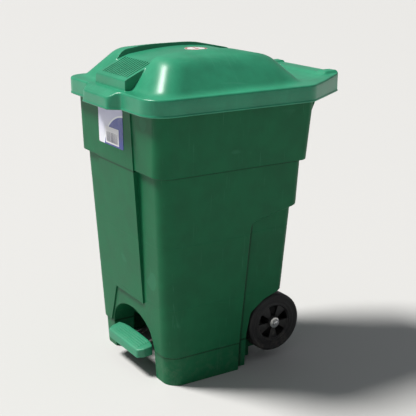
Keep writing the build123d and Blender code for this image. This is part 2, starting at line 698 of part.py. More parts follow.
# ------------------------------------------------------------------ write every piece
def main():
    os.makedirs("parts", exist_ok=True)
    write("tub", make_tub())
    write("lid", make_lid())
    write("lid_crank", make_crank())
    write("lid_crank_screws", make_crank_screws())
    write("lid_buffers", make_lid_buffers())
    write("lid_label", make_lid_label())
    write("front_label", make_front_label())
    write("hinge_rod", make_hinge_rod())
    write("hinge_rod_caps", make_rod_caps())
    write("handle_grip", make_grip())
    write("pedal", make_pedal())
    write("pedal_lever", make_lever())
    write("pedal_screws", make_pedal_screws())
    for side, bracket in zip(("right", "left"), both(make_bracket())):
        write(f"pivot_bracket_{side}", bracket)
    write("bracket_screws", make_bracket_screws())
    write("pivot_rod", make_pivot_rod())
    write("pivot_rod_clips", make_pivot_clips())
    write("lift_rod", make_lift_rod())
    write("lift_rod_foot", make_rod_foot())
    write("lift_rod_yoke", make_yoke())
    write("yoke_pin", make_yoke_pin())
    write("lower_rod_guide", make_guide(GUIDE_Z[0]))
    write("upper_rod_guide", make_guide(GUIDE_Z[1]))
    write("guide_screws", make_guide_screws())
    write("axle", make_axle())
    write("axle_spacers", make_axle_spacers())
    write("axle_washers", make_axle_washers())
    write("axle_bolts", make_axle_bolts())
    for name, make in (("wheel_rim", make_rim), ("tyre", make_tyre), ("wheel_bush", make_wheel_bush)):
        for side, piece in zip(("right", "left"), both(make())):
            write(f"{name}_{side}", piece)


main()
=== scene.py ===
import json
import math
from contextlib import contextmanager

import bmesh
import bpy
import numpy as np
from mathutils import Matrix, Vector


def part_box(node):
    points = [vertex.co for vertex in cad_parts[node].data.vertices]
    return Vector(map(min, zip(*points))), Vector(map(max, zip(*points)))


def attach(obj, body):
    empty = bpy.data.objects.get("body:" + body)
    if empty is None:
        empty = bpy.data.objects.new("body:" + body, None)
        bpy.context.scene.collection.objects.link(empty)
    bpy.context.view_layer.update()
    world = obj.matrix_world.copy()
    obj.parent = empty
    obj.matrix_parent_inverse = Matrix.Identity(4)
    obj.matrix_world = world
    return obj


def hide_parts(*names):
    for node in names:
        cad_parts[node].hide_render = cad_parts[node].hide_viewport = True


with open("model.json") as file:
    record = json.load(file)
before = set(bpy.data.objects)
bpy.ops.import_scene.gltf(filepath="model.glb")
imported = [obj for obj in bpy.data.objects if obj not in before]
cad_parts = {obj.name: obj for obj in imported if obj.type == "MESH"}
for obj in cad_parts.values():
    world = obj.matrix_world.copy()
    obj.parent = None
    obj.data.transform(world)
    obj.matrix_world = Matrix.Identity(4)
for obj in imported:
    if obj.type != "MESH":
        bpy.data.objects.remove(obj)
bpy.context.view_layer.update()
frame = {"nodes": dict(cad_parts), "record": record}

# The looks of the pedal wheelie bin, in metres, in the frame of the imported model: +Z up,
# the pedal side faces -Y. Lengths written as numbers are millimetres and pass through mm();
# a y written as a number counts from the tub's front foot line.

LIP_AHEAD = 95                    # the lid's lip stands this far in front of the foot line
FOOT_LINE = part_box("lid")[0].y + LIP_AHEAD / 1000


def mm(value):
    return value / 1000


def place(x, y, z):
    """A point in metres from millimetres, y counted from the foot line."""
    return Vector((mm(x), FOOT_LINE + mm(y), mm(z)))


# ------------------------------------------------------------------ node trees
def add(tree, kind, inputs=(), **settings):
    """A node with its settings; inputs maps a socket's name or index to a value or an output."""
    node = tree.nodes.new(kind)
    for key, value in settings.items():
        setattr(node, key, value)
    for key, value in dict(inputs).items():
        if isinstance(value, bpy.types.NodeSocket):
            tree.links.new(value, node.inputs[key])
        else:
            node.inputs[key].default_value = value
    return node


def calc(tree, operation, a, b=0.0, c=0.0, clamp=False):
    """A Math node's output."""
    node = add(tree, "ShaderNodeMath", {0: a, 1: b, 2: c}, operation=operation, use_clamp=clamp)
    return node.outputs[0]


def smooth(tree, value, start, end):
    """0 below start, 1 above end, smooth between them."""
    inputs = {"Value": value, "From Min": start, "From Max": end, "To Min": 0.0, "To Max": 1.0}
    return add(tree, "ShaderNodeMapRange", inputs, interpolation_type="SMOOTHSTEP").outputs[0]


def mixed(tree, factor, a, b):
    """Colour a at factor 0, colour b at factor 1."""
    return add(tree, "ShaderNodeMix", {0: factor, 6: a, 7: b}, data_type="RGBA").outputs[2]


def noise(tree, vector, scale, detail=3.0, roughness=0.5):
    inputs = {"Vector": vector, "Scale": scale, "Detail": detail, "Roughness": roughness}
    return add(tree, "ShaderNodeTexNoise", inputs).outputs[0]


def here(tree):
    """The piece's own coordinates, in metres."""
    return add(tree, "ShaderNodeTexCoord").outputs["Object"]


def stretched(tree, vector, size):
    return add(tree, "ShaderNodeMapping", {"Vector": vector, "Scale": size}).outputs[0]


def parts_of(tree, vector):
    return add(tree, "ShaderNodeSeparateXYZ", {0: vector}).outputs


def effect(name, inputs, outputs):
    """A shader node group with named sockets: (tree, its input sockets, its output node)."""
    tree = bpy.data.node_groups.new(name, "ShaderNodeTree")
    for label, value in inputs.items():
        socket = tree.interface.new_socket(label, in_out="INPUT", socket_type="NodeSocketFloat")
        socket.default_value = value
    for label in outputs:
        tree.interface.new_socket(label, in_out="OUTPUT", socket_type="NodeSocketFloat")
    return tree, tree.nodes.new("NodeGroupInput").outputs, tree.nodes.new("NodeGroupOutput")


def make_moulded_skin():
    """The fine orange peel of a moulded surface, and the slow swell of a wall that shrank."""
    inputs = {"Grain size": 0.0012, "Swell": 0.3}
    tree, given, out = effect("moulded_skin", inputs, ["Height", "Patches"])
    at = here(tree)
    fine = noise(tree, at, calc(tree, "DIVIDE", 1.0, given["Grain size"]), 2.0)
    slow = noise(tree, at, 9.0, 2.0)
    height = calc(tree, "MULTIPLY_ADD", slow, calc(tree, "MULTIPLY", given["Swell"], 12.0), fine)
    tree.links.new(height, out.inputs["Height"])
    tree.links.new(noise(tree, at, 14.0, 5.0, 0.62), out.inputs["Patches"])
    return tree


def make_scuffs():
    """Fine scratches in two directions and rubbed patches."""
    tree, given, out = effect("scuffs", {"Density": 0.5, "Length": 1.0}, ["Scratches", "Rubs"])
    at = here(tree)
    lines = []
    for turn, size in (((0.3, 0.2, 0.5), (260, 9, 14)), ((1.1, 0.9, 0.1), (12, 240, 10))):
        mapping = {"Vector": at, "Rotation": turn, "Scale": size}
        mapped = add(tree, "ShaderNodeMapping", mapping).outputs[0]
        inputs = {0: mapped, "Scale": given["Length"]}
        longer = add(tree, "ShaderNodeVectorMath", inputs, operation="SCALE").outputs[0]
        thread = noise(tree, longer, 1.0, 1.0)
        lines.append(smooth(tree, thread, 0.69, 0.73))
    marks = calc(tree, "MAXIMUM", lines[0], lines[1])
    where = smooth(tree, noise(tree, at, 11.0, 3.0), 0.62, 0.5)
    marks = calc(tree, "MULTIPLY", marks, where)
    marks = calc(tree, "MULTIPLY", marks, given["Density"], clamp=True)
    rubs = smooth(tree, noise(tree, stretched(tree, at, (30, 30, 12)), 1.0, 6.0, 0.7), 0.55, 0.75)
    tree.links.new(marks, out.inputs["Scratches"])
    tree.links.new(calc(tree, "MULTIPLY", rubs, given["Density"]), out.inputs["Rubs"])
    return tree


def make_settled_dust():
    """Dust on faces that look up, and dirt that climbs from the ground."""
    tree, given, out = effect("settled_dust", {"Amount": 0.4, "Splash height": 0.12}, ["Mask"])
    at = here(tree)
    up = parts_of(tree, add(tree, "ShaderNodeNewGeometry").outputs["Normal"])["Z"]
    lying = calc(tree, "MULTIPLY", smooth(tree, up, 0.5, 1.0), 0.5)
    rise = calc(tree, "DIVIDE", parts_of(tree, at)["Z"], given["Splash height"])
    splash = smooth(tree, rise, 1.0, 0.0)
    specks = smooth(tree, noise(tree, at, 60.0, 6.0, 0.7), 0.42, 0.72)
    mask = calc(tree, "MULTIPLY", calc(tree, "MAXIMUM", lying, splash), specks)
    tree.links.new(calc(tree, "MULTIPLY", mask, given["Amount"], clamp=True), out.inputs["Mask"])
    return tree


def make_worn_edges():
    """1 along outer edges, broken up by noise, 0 elsewhere."""
    tree, given, out = effect("worn_edges", {"Width": 0.0015, "Amount": 0.5}, ["Mask"])
    soft = add(tree, "ShaderNodeBevel", {"Radius": given["Width"]}, samples=4).outputs[0]
    plain = add(tree, "ShaderNodeNewGeometry").outputs["Normal"]
    agree = add(tree, "ShaderNodeVectorMath", {0: soft, 1: plain}, operation="DOT_PRODUCT")
    edge = smooth(tree, agree.outputs["Value"], 0.99, 0.86)
    broken = smooth(tree, noise(tree, here(tree), 120.0, 4.0, 0.7), 0.4, 0.62)
    mask = calc(tree, "MULTIPLY", calc(tree, "MULTIPLY", edge, broken), given["Amount"], clamp=True)
    tree.links.new(mask, out.inputs["Mask"])
    return tree


MOULDED_SKIN = make_moulded_skin()
SCUFFS = make_scuffs()
SETTLED_DUST = make_settled_dust()
WORN_EDGES = make_worn_edges()


def use(tree, group, **values):
    """Places an effect in a material with its own values and returns its outputs."""
    node = tree.nodes.new("ShaderNodeGroup")
    node.node_tree = group
    for label, value in values.items():
        node.inputs[label.replace("_", " ")].default_value = value
    return node.outputs


# ------------------------------------------------------------------ materials
DUST_COLOUR = (0.30, 0.27, 0.22, 1)


def blank(name, **uniform):
    """A material, its tree and its Principled shader, with the uniform values set on the sockets."""
    material = bpy.data.materials.new(name)
    material.use_nodes = True
    shader = material.node_tree.nodes["Principled BSDF"]
    for label, value in uniform.items():
        shader.inputs[label.replace("_", " ")].default_value = value
    return material, material.node_tree, shader


def darker(colour, share):
    """The colour times a share, opaque."""
    return tuple(c * share for c in colour[:3]) + (1,)


def bumped(tree, shader, height, strength, distance):
    inputs = {"Height": height, "Strength": strength, "Distance": distance}
    bump = add(tree, "ShaderNodeBump", inputs)
    tree.links.new(bump.outputs[0], shader.inputs["Normal"])


def set_back_shade_mask(tree):
    """1 in the corner where the tub's rear sides are set back, 0 elsewhere: where shade is painted
    behind the step.
    """
    at = parts_of(tree, here(tree))
    # the corner climbs in two straight stretches: (rise of y with z, y at the floor)
    stretches = ((0.025, 203.5), (0.0772, 198.3))
    low, high = (calc(tree, "MULTIPLY_ADD", at["Z"], rise, FOOT_LINE + mm(y)) for rise, y in stretches)
    behind = calc(tree, "SUBTRACT", at["Y"], calc(tree, "MAXIMUM", low, high))
    start, end = smooth(tree, behind, mm(-1), mm(2)), smooth(tree, behind, mm(18), mm(11))
    mask = calc(tree, "MULTIPLY", start, end)
    mask = calc(tree, "MULTIPLY", mask, smooth(tree, calc(tree, "ABSOLUTE", at["X"]), mm(160), mm(164)))
    return calc(tree, "MULTIPLY", mask, smooth(tree, at["Z"], mm(400), mm(390)))


def moulded(name, colour, rub_colour, roughness, dust, grain=0.0012, density=0.5, seams=(),
            steps=(), gloss=0.5):
    """Moulded plastic: two close tones, scratches and rubs that pale it, dust, and mould lines.

    Painted shade darkens the corner under each height in steps, and behind the step of the set-back
    sides.
    """
    material, tree, shader = blank(name, Specular_IOR_Level=gloss)
    skin = use(tree, MOULDED_SKIN, Grain_size=grain, Swell=0.3)
    scuffs = use(tree, SCUFFS, Density=density, Length=1.0)
    dirt = use(tree, SETTLED_DUST, Amount=dust, Splash_height=0.13)
    wear = use(tree, WORN_EDGES, Width=0.0016, Amount=0.3)
    # the second tone here is the dark of the painted shade in the corners under ledges
    deep, shade_colour = darker(colour, 0.82), darker(colour, 0.2)
    base = mixed(tree, smooth(tree, skin["Patches"], 0.3, 0.7), deep, colour)
    pale = calc(tree, "MAXIMUM", calc(tree, "MULTIPLY", scuffs["Scratches"], 0.5),
                calc(tree, "MULTIPLY", scuffs["Rubs"], 0.07))
    pale = calc(tree, "MAXIMUM", pale, wear["Mask"])
    base = mixed(tree, pale, base, rub_colour)
    up = parts_of(tree, here(tree))["Z"]
    # painted shade: a dark line in the corner under each ledge height in steps
    for level in steps:
        away = calc(tree, "ABSOLUTE", calc(tree, "SUBTRACT", up, mm(level)))
        painted_shade = calc(tree, "MULTIPLY", smooth(tree, away, 0.0035, 0.0012), 0.75)
        base = mixed(tree, painted_shade, base, shade_colour)
    # painted shade behind the step of the set-back sides
    if steps:
        painted_shade = calc(tree, "MULTIPLY", set_back_shade_mask(tree), 0.8)
        base = mixed(tree, painted_shade, base, shade_colour)
    tree.links.new(mixed(tree, dirt["Mask"], base, DUST_COLOUR), shader.inputs["Base Color"])
    dull = calc(tree, "MULTIPLY_ADD", pale, 0.2, roughness)
    dull = calc(tree, "MULTIPLY_ADD", skin["Patches"], 0.12, dull)
    dull = calc(tree, "MULTIPLY_ADD", dirt["Mask"], 0.35, dull, clamp=True)
    tree.links.new(dull, shader.inputs["Roughness"])
    height = calc(tree, "MULTIPLY_ADD", scuffs["Scratches"], -0.7, skin["Height"])
    for level in seams:
        away = calc(tree, "ABSOLUTE", calc(tree, "SUBTRACT", up, mm(level)))
        height = calc(tree, "MULTIPLY_ADD", smooth(tree, away, 0.0012, 0.0002), 4.0, height)
    bumped(tree, shader, height, 0.35, 0.00025)
    return material


def painted_steel(name):
    """Black paint, chipped to bare steel on its edges."""
    material, tree, shader = blank(name)
    wear = use(tree, WORN_EDGES, Width=0.0012, Amount=0.9)
    skin = use(tree, MOULDED_SKIN, Grain_size=0.0007, Swell=0.05)
    dirt = use(tree, SETTLED_DUST, Amount=0.55, Splash_height=0.14)
    paint = mixed(tree, skin["Patches"], (0.012, 0.012, 0.013, 1), (0.022, 0.022, 0.024, 1))
    base = mixed(tree, wear["Mask"], paint, (0.35, 0.33, 0.31, 1))
    tree.links.new(mixed(tree, dirt["Mask"], base, DUST_COLOUR), shader.inputs["Base Color"])
    tree.links.new(calc(tree, "MULTIPLY", wear["Mask"], 0.9), shader.inputs["Metallic"])
    tree.links.new(calc(tree, "MULTIPLY_ADD", skin["Patches"], 0.25, 0.3), shader.inputs["Roughness"])
    bumped(tree, shader, skin["Height"], 0.3, 0.0002)
    return material


def zinc_plate(name):
    """Bright zinc plate with the blotches of its passivation and fine drawing lines."""
    material, tree, shader = blank(name, Metallic=1.0)
    at = here(tree)
    blotch = noise(tree, at, 70.0, 4.0, 0.6)
    dirt = use(tree, SETTLED_DUST, Amount=0.5, Splash_height=0.12)
    cool, warm = (0.56, 0.57, 0.60, 1), (0.74, 0.73, 0.70, 1)
    base = mixed(tree, smooth(tree, blotch, 0.35, 0.65), cool, warm)
    tree.links.new(mixed(tree, dirt["Mask"], base, DUST_COLOUR), shader.inputs["Base Color"])
    lines = noise(tree, stretched(tree, at, (3000, 120, 120)), 1.0, 2.0)
    tree.links.new(calc(tree, "MULTIPLY_ADD", blotch, 0.25, 0.16), shader.inputs["Roughness"])
    bumped(tree, shader, lines, 0.12, 0.0001)
    return material


def tyre_rubber(name):
    """Solid black rubber, greyed by dust towards the tread."""
    material, tree, shader = blank(name, Specular_IOR_Level=0.35)
    at = here(tree)
    skin = use(tree, MOULDED_SKIN, Grain_size=0.0006, Swell=0.1)
    scuffs = use(tree, SCUFFS, Density=0.6, Length=2.0)
    dirt = use(tree, SETTLED_DUST, Amount=0.35, Splash_height=0.09)
    base = mixed(tree, skin["Patches"], (0.010, 0.010, 0.011, 1), (0.020, 0.020, 0.021, 1))
    grey = calc(tree, "MULTIPLY", scuffs["Rubs"], 0.5)
    base = mixed(tree, grey, base, (0.06, 0.058, 0.055, 1))
    tree.links.new(mixed(tree, dirt["Mask"], base, DUST_COLOUR), shader.inputs["Base Color"])
    worn = noise(tree, at, 40.0, 4.0)
    tree.links.new(calc(tree, "MULTIPLY_ADD", worn, 0.2, 0.45), shader.inputs["Roughness"])
    bumped(tree, shader, skin["Height"], 0.4, 0.0003)
    return material


def printed_film(name, paint):
    """Sticker film; paint gives its colour from a tree and the piece's coordinates."""
    material, tree, shader = blank(name, Coat_Weight=0.35, Coat_Roughness=0.12)
    at = here(tree)
    wrinkle = noise(tree, at, 90.0, 3.0)
    faded = smooth(tree, noise(tree, at, 35.0, 5.0, 0.7), 0.45, 0.8)
    dirt = use(tree, SETTLED_DUST, Amount=0.25, Splash_height=0.1)
    base = mixed(tree, calc(tree, "MULTIPLY", faded, 0.1), paint(tree, at), (0.72, 0.73, 0.76, 1))
    tree.links.new(mixed(tree, dirt["Mask"], base, DUST_COLOUR), shader.inputs["Base Color"])
    tree.links.new(calc(tree, "MULTIPLY_ADD", wrinkle, 0.2, 0.3), shader.inputs["Roughness"])
    bumped(tree, shader, wrinkle, 0.15, 0.0006)
    return material


FILM_WHITE = (0.72, 0.73, 0.80, 1)
FILM_LILAC = (0.52, 0.52, 0.74, 1)
FILM_BLUE = (0.008, 0.030, 0.30, 1)
FILM_RED = (0.45, 0.035, 0.03, 1)


def length_of(tree, a, b):
    """How far a point with the coordinates a and b is from the middle."""
    squares = calc(tree, "MULTIPLY_ADD", a, a, calc(tree, "MULTIPLY", b, b))
    return calc(tree, "SQRT", squares)


def front_label_print(tree, at):
    """A blue field with a curved left edge on a pale ground."""
    side = parts_of(tree, at)
    x = calc(tree, "MULTIPLY", side["X"], 1000.0)
    z = calc(tree, "MULTIPLY", side["Z"], 1000.0)
    # the field is part of an ellipse: its middle and half axes, in millimetres
    (middle_x, middle_z), (half_x, half_z) = (62.0, 570.0), (116.0, 98.0)
    across = calc(tree, "DIVIDE", calc(tree, "SUBTRACT", x, middle_x), half_x)
    up = calc(tree, "DIVIDE", calc(tree, "SUBTRACT", z, middle_z), half_z)
    far = length_of(tree, across, up)
    ground = mixed(tree, smooth(tree, z, 590.0, 690.0), FILM_WHITE, FILM_LILAC)
    rim = mixed(tree, smooth(tree, far, 1.04, 1.03), ground, (0.80, 0.82, 0.88, 1))
    return mixed(tree, smooth(tree, far, 1.0, 0.99), rim, FILM_BLUE)


def lid_label_print(tree, at):
    """A white disc with a red ring and a red bar, round the middle of the sticker."""
    side = parts_of(tree, at)
    low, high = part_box("lid_label")
    middle = (low + high) / 2
    x = calc(tree, "SUBTRACT", side["X"], middle.x)
    y = calc(tree, "SUBTRACT", side["Y"], middle.y)
    far = length_of(tree, x, y)
    radius = (high.x - low.x) / 2
    outer = smooth(tree, far, radius * 0.80, radius * 0.82)
    edge = smooth(tree, far, radius * 0.97, radius * 0.95)
    ring = calc(tree, "MULTIPLY", outer, edge)
    inside_y = smooth(tree, calc(tree, "ABSOLUTE", y), radius * 0.15, radius * 0.13)
    inside_x = smooth(tree, calc(tree, "ABSOLUTE", x), radius * 0.47, radius * 0.45)
    bar = calc(tree, "MULTIPLY", inside_x, inside_y)
    return mixed(tree, calc(tree, "MAXIMUM", ring, bar), (0.80, 0.80, 0.80, 1), FILM_RED)


def plain_print(colour):
    return lambda tree, at: mixed(tree, noise(tree, at, 400.0), colour, darker(colour, 0.9))


# steps gives the heights of the painted shade lines: under the foot's step and under the band's ledge
BODY_GREEN = moulded("body_green", (0.005, 0.128, 0.050, 1), (0.05, 0.23, 0.13, 1), 0.40, 0.10,
                     seams=(205, 368), steps=(75, 543.5), gloss=0.2)
# The lid's green is brighter and bluer than the body's: its own green with painted light, standing for
# the sunlit top and the sky's reflection on it.
LID_GREEN_PAINTED_LIGHT = moulded("lid_green_painted_light", (0.024, 0.262, 0.140, 1), (0.10, 0.38, 0.26, 1), 0.25, 0.05,
                    density=0.35, gloss=0.4)
PEDAL_GREEN = moulded("pedal_green", (0.020, 0.232, 0.122, 1), (0.12, 0.38, 0.27, 1), 0.40, 0.10,
                      density=0.9)
BLACK_NYLON = moulded("black_nylon", (0.016, 0.016, 0.017, 1), (0.07, 0.07, 0.07, 1), 0.45, 0.3,
                      grain=0.0008)
WHEEL_BLACK = moulded("wheel_black", (0.010, 0.010, 0.011, 1), (0.05, 0.05, 0.052, 1), 0.42, 0.3,
                      grain=0.0009)
SOFT_RUBBER = moulded("soft_rubber", (0.02, 0.02, 0.02, 1), (0.06, 0.06, 0.06, 1), 0.7, 0.2,
                      grain=0.0005)
TYRE_RUBBER = tyre_rubber("tyre_rubber")
BLACK_STEEL = painted_steel("black_painted_steel")
ZINC = zinc_plate("zinc_plate")
LABEL_FRONT = printed_film("front_sticker_film", front_label_print)
LABEL_LID = printed_film("lid_sticker_film", lid_label_print)
LABEL_WHITE = printed_film("white_panel_film", plain_print((0.76, 0.76, 0.80, 1)))
LABEL_GREY = printed_film("grey_bar_film", plain_print((0.22, 0.22, 0.27, 1)))


# ------------------------------------------------------------------ mesh helpers
def as_object(name, mesh, material):
    piece = bpy.data.objects.new(name, mesh)
    bpy.context.scene.collection.objects.link(piece)
    mesh.materials.clear()
    mesh.materials.append(material)
    return piece


@contextmanager
def opened(mesh):
    """The mesh's faces and edges for editing, written back at the end."""
    work = bmesh.new()
    work.from_mesh(mesh)
    yield work
    work.to_mesh(mesh)
    work.free()


def joined(work, dist):
    """Merges points that lie together and drops what has no area."""
    bmesh.ops.remove_doubles(work, verts=work.verts, dist=dist)
    bmesh.ops.dissolve_degenerate(work, edges=work.edges, dist=1e-6)


def shade(mesh, angle=38):
    """Smooth shading, with edges that turn by more than the angle kept sharp."""
    with opened(mesh) as work:
        for face in work.faces:
            face.smooth = True
        for edge in work.edges:
            turn = edge.calc_face_angle(0)
            edge.smooth = len(edge.link_faces) == 2 and turn < math.radians(angle)


def outward(mesh):
    with opened(mesh) as work:
        bmesh.ops.remove_doubles(work, verts=work.verts, dist=1e-7)
        bmesh.ops.recalc_face_normals(work, faces=work.faces)


def mesh_of(name, points, faces):
    mesh = bpy.data.meshes.new(name)
    mesh.from_pydata([tuple(p) for p in points], [], faces)
    mesh.validate()
    return mesh


def applied(piece):
    """Turns the piece's modifiers into plain mesh."""
    bpy.context.view_layer.update()
    evaluated = piece.evaluated_get(bpy.context.evaluated_depsgraph_get())
    mesh = bpy.data.meshes.new_from_object(evaluated)
    piece.modifiers.clear()
    old, piece.data = piece.data, mesh
    bpy.data.meshes.remove(old)
    return piece


def finished(piece, body, slot, *nodes):
    """Puts a piece on its body, with the CAD nodes that it stands for."""
    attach(piece, body)
    if nodes:
        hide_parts(*nodes)
    return piece


def body_of_node(node):
    bodies = frame["record"]["behaviour"]["bodies"]
    return next(body for body, nodes in bodies.items() if node in nodes)


def eased(piece, width, steps, angle):
    """Rounds the edges that turn by more than the angle; the width is in metres."""
    bevel = piece.modifiers.new("ease", "BEVEL")
    bevel.width, bevel.segments = width, steps
    bevel.limit_method = "ANGLE"
    bevel.angle_limit = math.radians(angle)
    return applied(piece)


def walled(piece, thickness):
    """Gives an open shell its wall, on the inside; the thickness is in millimetres."""
    wall = piece.modifiers.new("wall", "SOLIDIFY")
    wall.thickness, wall.offset = mm(thickness), -1
    wall.use_even_offset = False
    return applied(piece)


def refined(node, material, slot, ease):
    """A CAD piece with its flat faces whole again and its edges eased."""
    mesh = frame["nodes"][node].data.copy()
    mesh.name = node + "_refined"
    with opened(mesh) as work:
        joined(work, 1e-6)
        flat = math.radians(1.0)
        bmesh.ops.dissolve_limit(work, angle_limit=flat, verts=work.verts, edges=work.edges)
    piece = as_object(node + "_refined", mesh, material)
    if ease:
        eased(piece, mm(ease), 2, 32)
    shade(piece.data)
    return finished(piece, body_of_node(node), slot, node)


def lathe(name, profile, centre, material, turns=96):
    """Closed profile of (x, radius) in millimetres, spun about an axis along X."""
    points, faces = [], []
    count = len(profile)
    for i in range(turns):
        a = 2 * math.pi * i / turns
        for x, r in profile:
            points.append(centre + Vector((mm(x), mm(r) * math.cos(a), mm(r) * math.sin(a))))
    for i in range(turns):
        for j in range(count):
            a, b = i * count, ((i + 1) % turns) * count
            faces.append((a + j, a + (j + 1) % count, b + (j + 1) % count, b + j))
    mesh = mesh_of(name, points, faces)
    outward(mesh)
    shade(mesh, 32)
    return as_object(name, mesh, material)


def rectangle(half_w, half_h, middle=(0, 0)):
    """The corners of an upright rectangle, counter-clockwise."""
    x, y = middle
    return [(x - half_w, y - half_h), (x + half_w, y - half_h), (x + half_w, y + half_h),
            (x - half_w, y + half_h)]


def rounded(points, radii, steps=6):
    """Closed outline with arcs of the given radii at its corners, as (x, y) pairs."""
    out = []
    count = len(points)
    for i, radius in enumerate(radii):
        before, corner, after = (Vector(points[(i + k) % count]) for k in (-1, 0, 1))
        if not radius:
            out.append(tuple(corner))
            continue
        a, b = (before - corner).normalized(), (after - corner).normalized()
        half = a.angle(b) / 2
        middle = corner + (a + b).normalized() * (radius / math.sin(half))
        first = corner + a * (radius / math.tan(half)) - middle
        last = corner + b * (radius / math.tan(half)) - middle
        turn = first.angle_signed(last)
        for k in range(steps + 1):
            out.append(tuple(middle + Matrix.Rotation(-turn * k / steps, 2) @ first))
    return out


def prism(name, outline, z0, z1, material, ease=0.0, steps=2):
    """Flat outline in x and y (metres) raised from z0 to z1, with eased edges."""
    count = len(outline)
    points = [Vector((p[0], p[1], z)) for z in (z0, z1) for p in outline]
    sides = [(i, (i + 1) % count, count + (i + 1) % count, count + i) for i in range(count)]
    ends = [tuple(range(count))[::-1], tuple(range(count, 2 * count))]
    mesh = mesh_of(name, points, sides + ends)
    outward(mesh)
    piece = as_object(name, mesh, material)
    if ease:
        eased(piece, ease, steps, 40)
    shade(piece.data)
    return piece


# ------------------------------------------------------------------ repeated parts
def repeat_tree(name, sockets):
    """A Geometry Nodes tree with named inputs: (tree, input sockets, output node)."""
    tree = bpy.data.node_groups.new(name, "GeometryNodeTree")
    for label, kind in sockets.items():
        tree.interface.new_socket(label, in_out="INPUT", socket_type="NodeSocket" + kind)
    tree.interface.new_socket("Geometry", in_out="OUTPUT", socket_type="NodeSocketGeometry")
    return tree, tree.nodes.new("NodeGroupInput").outputs, tree.nodes.new("NodeGroupOutput")


def close_tree(tree, geometry, material, out):
    """Realize Instances and Set Material end every tree."""
    real = add(tree, "GeometryNodeRealizeInstances", {0: geometry})
    inputs = {"Geometry": real.outputs[0], "Material": material}
    painted = add(tree, "GeometryNodeSetMaterial", inputs)
    tree.links.new(painted.outputs[0], out.inputs["Geometry"])
    return tree


def make_row_tree():
    """Copies of a part in a straight row, from a start, a step apart."""
    tree, given, out = repeat_tree("row_of_parts", {
        "Part": "Object", "Count": "Int", "Start": "Vector", "Step": "Vector",
        "Material": "Material"})
    line = add(tree, "GeometryNodeMeshLine", {
        "Count": given["Count"], "Start Location": given["Start"], "Offset": given["Step"]})
    part = add(tree, "GeometryNodeObjectInfo", {"Object": given["Part"]}).outputs["Geometry"]
    placed = add(tree, "GeometryNodeInstanceOnPoints", {
        "Points": line.outputs[0], "Instance": part})
    return close_tree(tree, placed.outputs[0], given["Material"], out)


def make_ring_tree():
    """Copies of a part about an axis along X through a centre, each a turn on from the last."""
    tree, given, out = repeat_tree("ring_of_parts", {
        "Part": "Object", "Count": "Int", "Centre": "Vector", "Turn": "Float",
        "Material": "Material"})
    line = add(tree, "GeometryNodeMeshLine", {"Count": given["Count"], "Offset": (0, 0, 0)})
    part = add(tree, "GeometryNodeObjectInfo", {"Object": given["Part"]}).outputs["Geometry"]
    index = add(tree, "GeometryNodeInputIndex").outputs[0]
    angle = calc(tree, "MULTIPLY", index, given["Turn"])
    turned = add(tree, "ShaderNodeCombineXYZ", {"X": angle}).outputs[0]
    placed = add(tree, "GeometryNodeInstanceOnPoints", {
        "Points": line.outputs[0], "Instance": part, "Rotation": turned})
    moved = add(tree, "GeometryNodeTransform", {
        "Geometry": placed.outputs[0], "Translation": given["Centre"]})
    return close_tree(tree, moved.outputs[0], given["Material"], out)


def make_bars_tree():
    """A row of upright bars whose widths are drawn from a seed."""
    tree, given, out = repeat_tree("bars_of_mixed_width", {
        "Count": "Int", "Start": "Vector", "Step": "Vector", "Size": "Vector", "Thinnest": "Float",
        "Seed": "Int", "Tilt": "Float", "Material": "Material"})
    line = add(tree, "GeometryNodeMeshLine", {
        "Count": given["Count"], "Start Location": given["Start"], "Offset": given["Step"]})
    bar = add(tree, "GeometryNodeMeshCube", {"Size": given["Size"]})
    width = add(tree, "FunctionNodeRandomValue", {"Seed": given["Seed"]}, data_type="FLOAT")
    tree.links.new(given["Thinnest"], width.inputs[2])
    width.inputs[3].default_value = 1.0
    scale = {"X": width.outputs[1], "Y": 1.0, "Z": 1.0}
    scale = add(tree, "ShaderNodeCombineXYZ", scale).outputs[0]
    turned = add(tree, "ShaderNodeCombineXYZ", {"X": given["Tilt"]}).outputs[0]
    placed = add(tree, "GeometryNodeInstanceOnPoints", {
        "Points": line.outputs[0], "Instance": bar.outputs[0], "Rotation": turned, "Scale": scale})
    return close_tree(tree, placed.outputs[0], given["Material"], out)


ROW_OF_PARTS = make_row_tree()
RING_OF_PARTS = make_ring_tree()
BARS = make_bars_tree()


def grown(name, tree, material, **values):
    """The plain mesh that a tree makes from its named inputs."""
    holder = bpy.data.objects.new(name, bpy.data.meshes.new(name))
    bpy.context.scene.collection.objects.link(holder)
    modifier = holder.modifiers.new("repeat", "NODES")
    modifier.node_group = tree
    named = {s.name: s.identifier for s in tree.interface.items_tree if s.in_out == "INPUT"}
    for label, value in {**values, "Material": material}.items():
        modifier[named[label]] = value
    applied(holder)
    part = values.get("Part")
    if part is not None:
        bpy.data.objects.remove(part)
    outward(holder.data)
    shade(holder.data)
    return holder


def pill(length, width, height, along="Y"):
    """A rounded bar, centred on the origin, that rises height above it."""
    half_l, half_w = mm(length) / 2, mm(width) / 2
    corners = rectangle(half_l, half_w) if along == "X" else rectangle(half_w, half_l)
    outline = rounded(corners, [half_w * 0.95] * 4, 4)
    return prism("bar", outline, -mm(height), mm(height), LID_GREEN_PAINTED_LIGHT, min(mm(height), half_w) * 0.6)


# ------------------------------------------------------------------ lid
FLANGE_Z = 736                    # top of the lid's flange
SKIRT_Z = 694                     # lower edge of its skirt
EDGE_R = 5                        # rounding between flange and skirt
CROWN_Z = 819                     # top of the dome, beside the sunk strip
CROWN_FRONT, CROWN_REAR = (92, CROWN_Z), (236, CROWN_Z - 2)    # (y, z) of its two ends
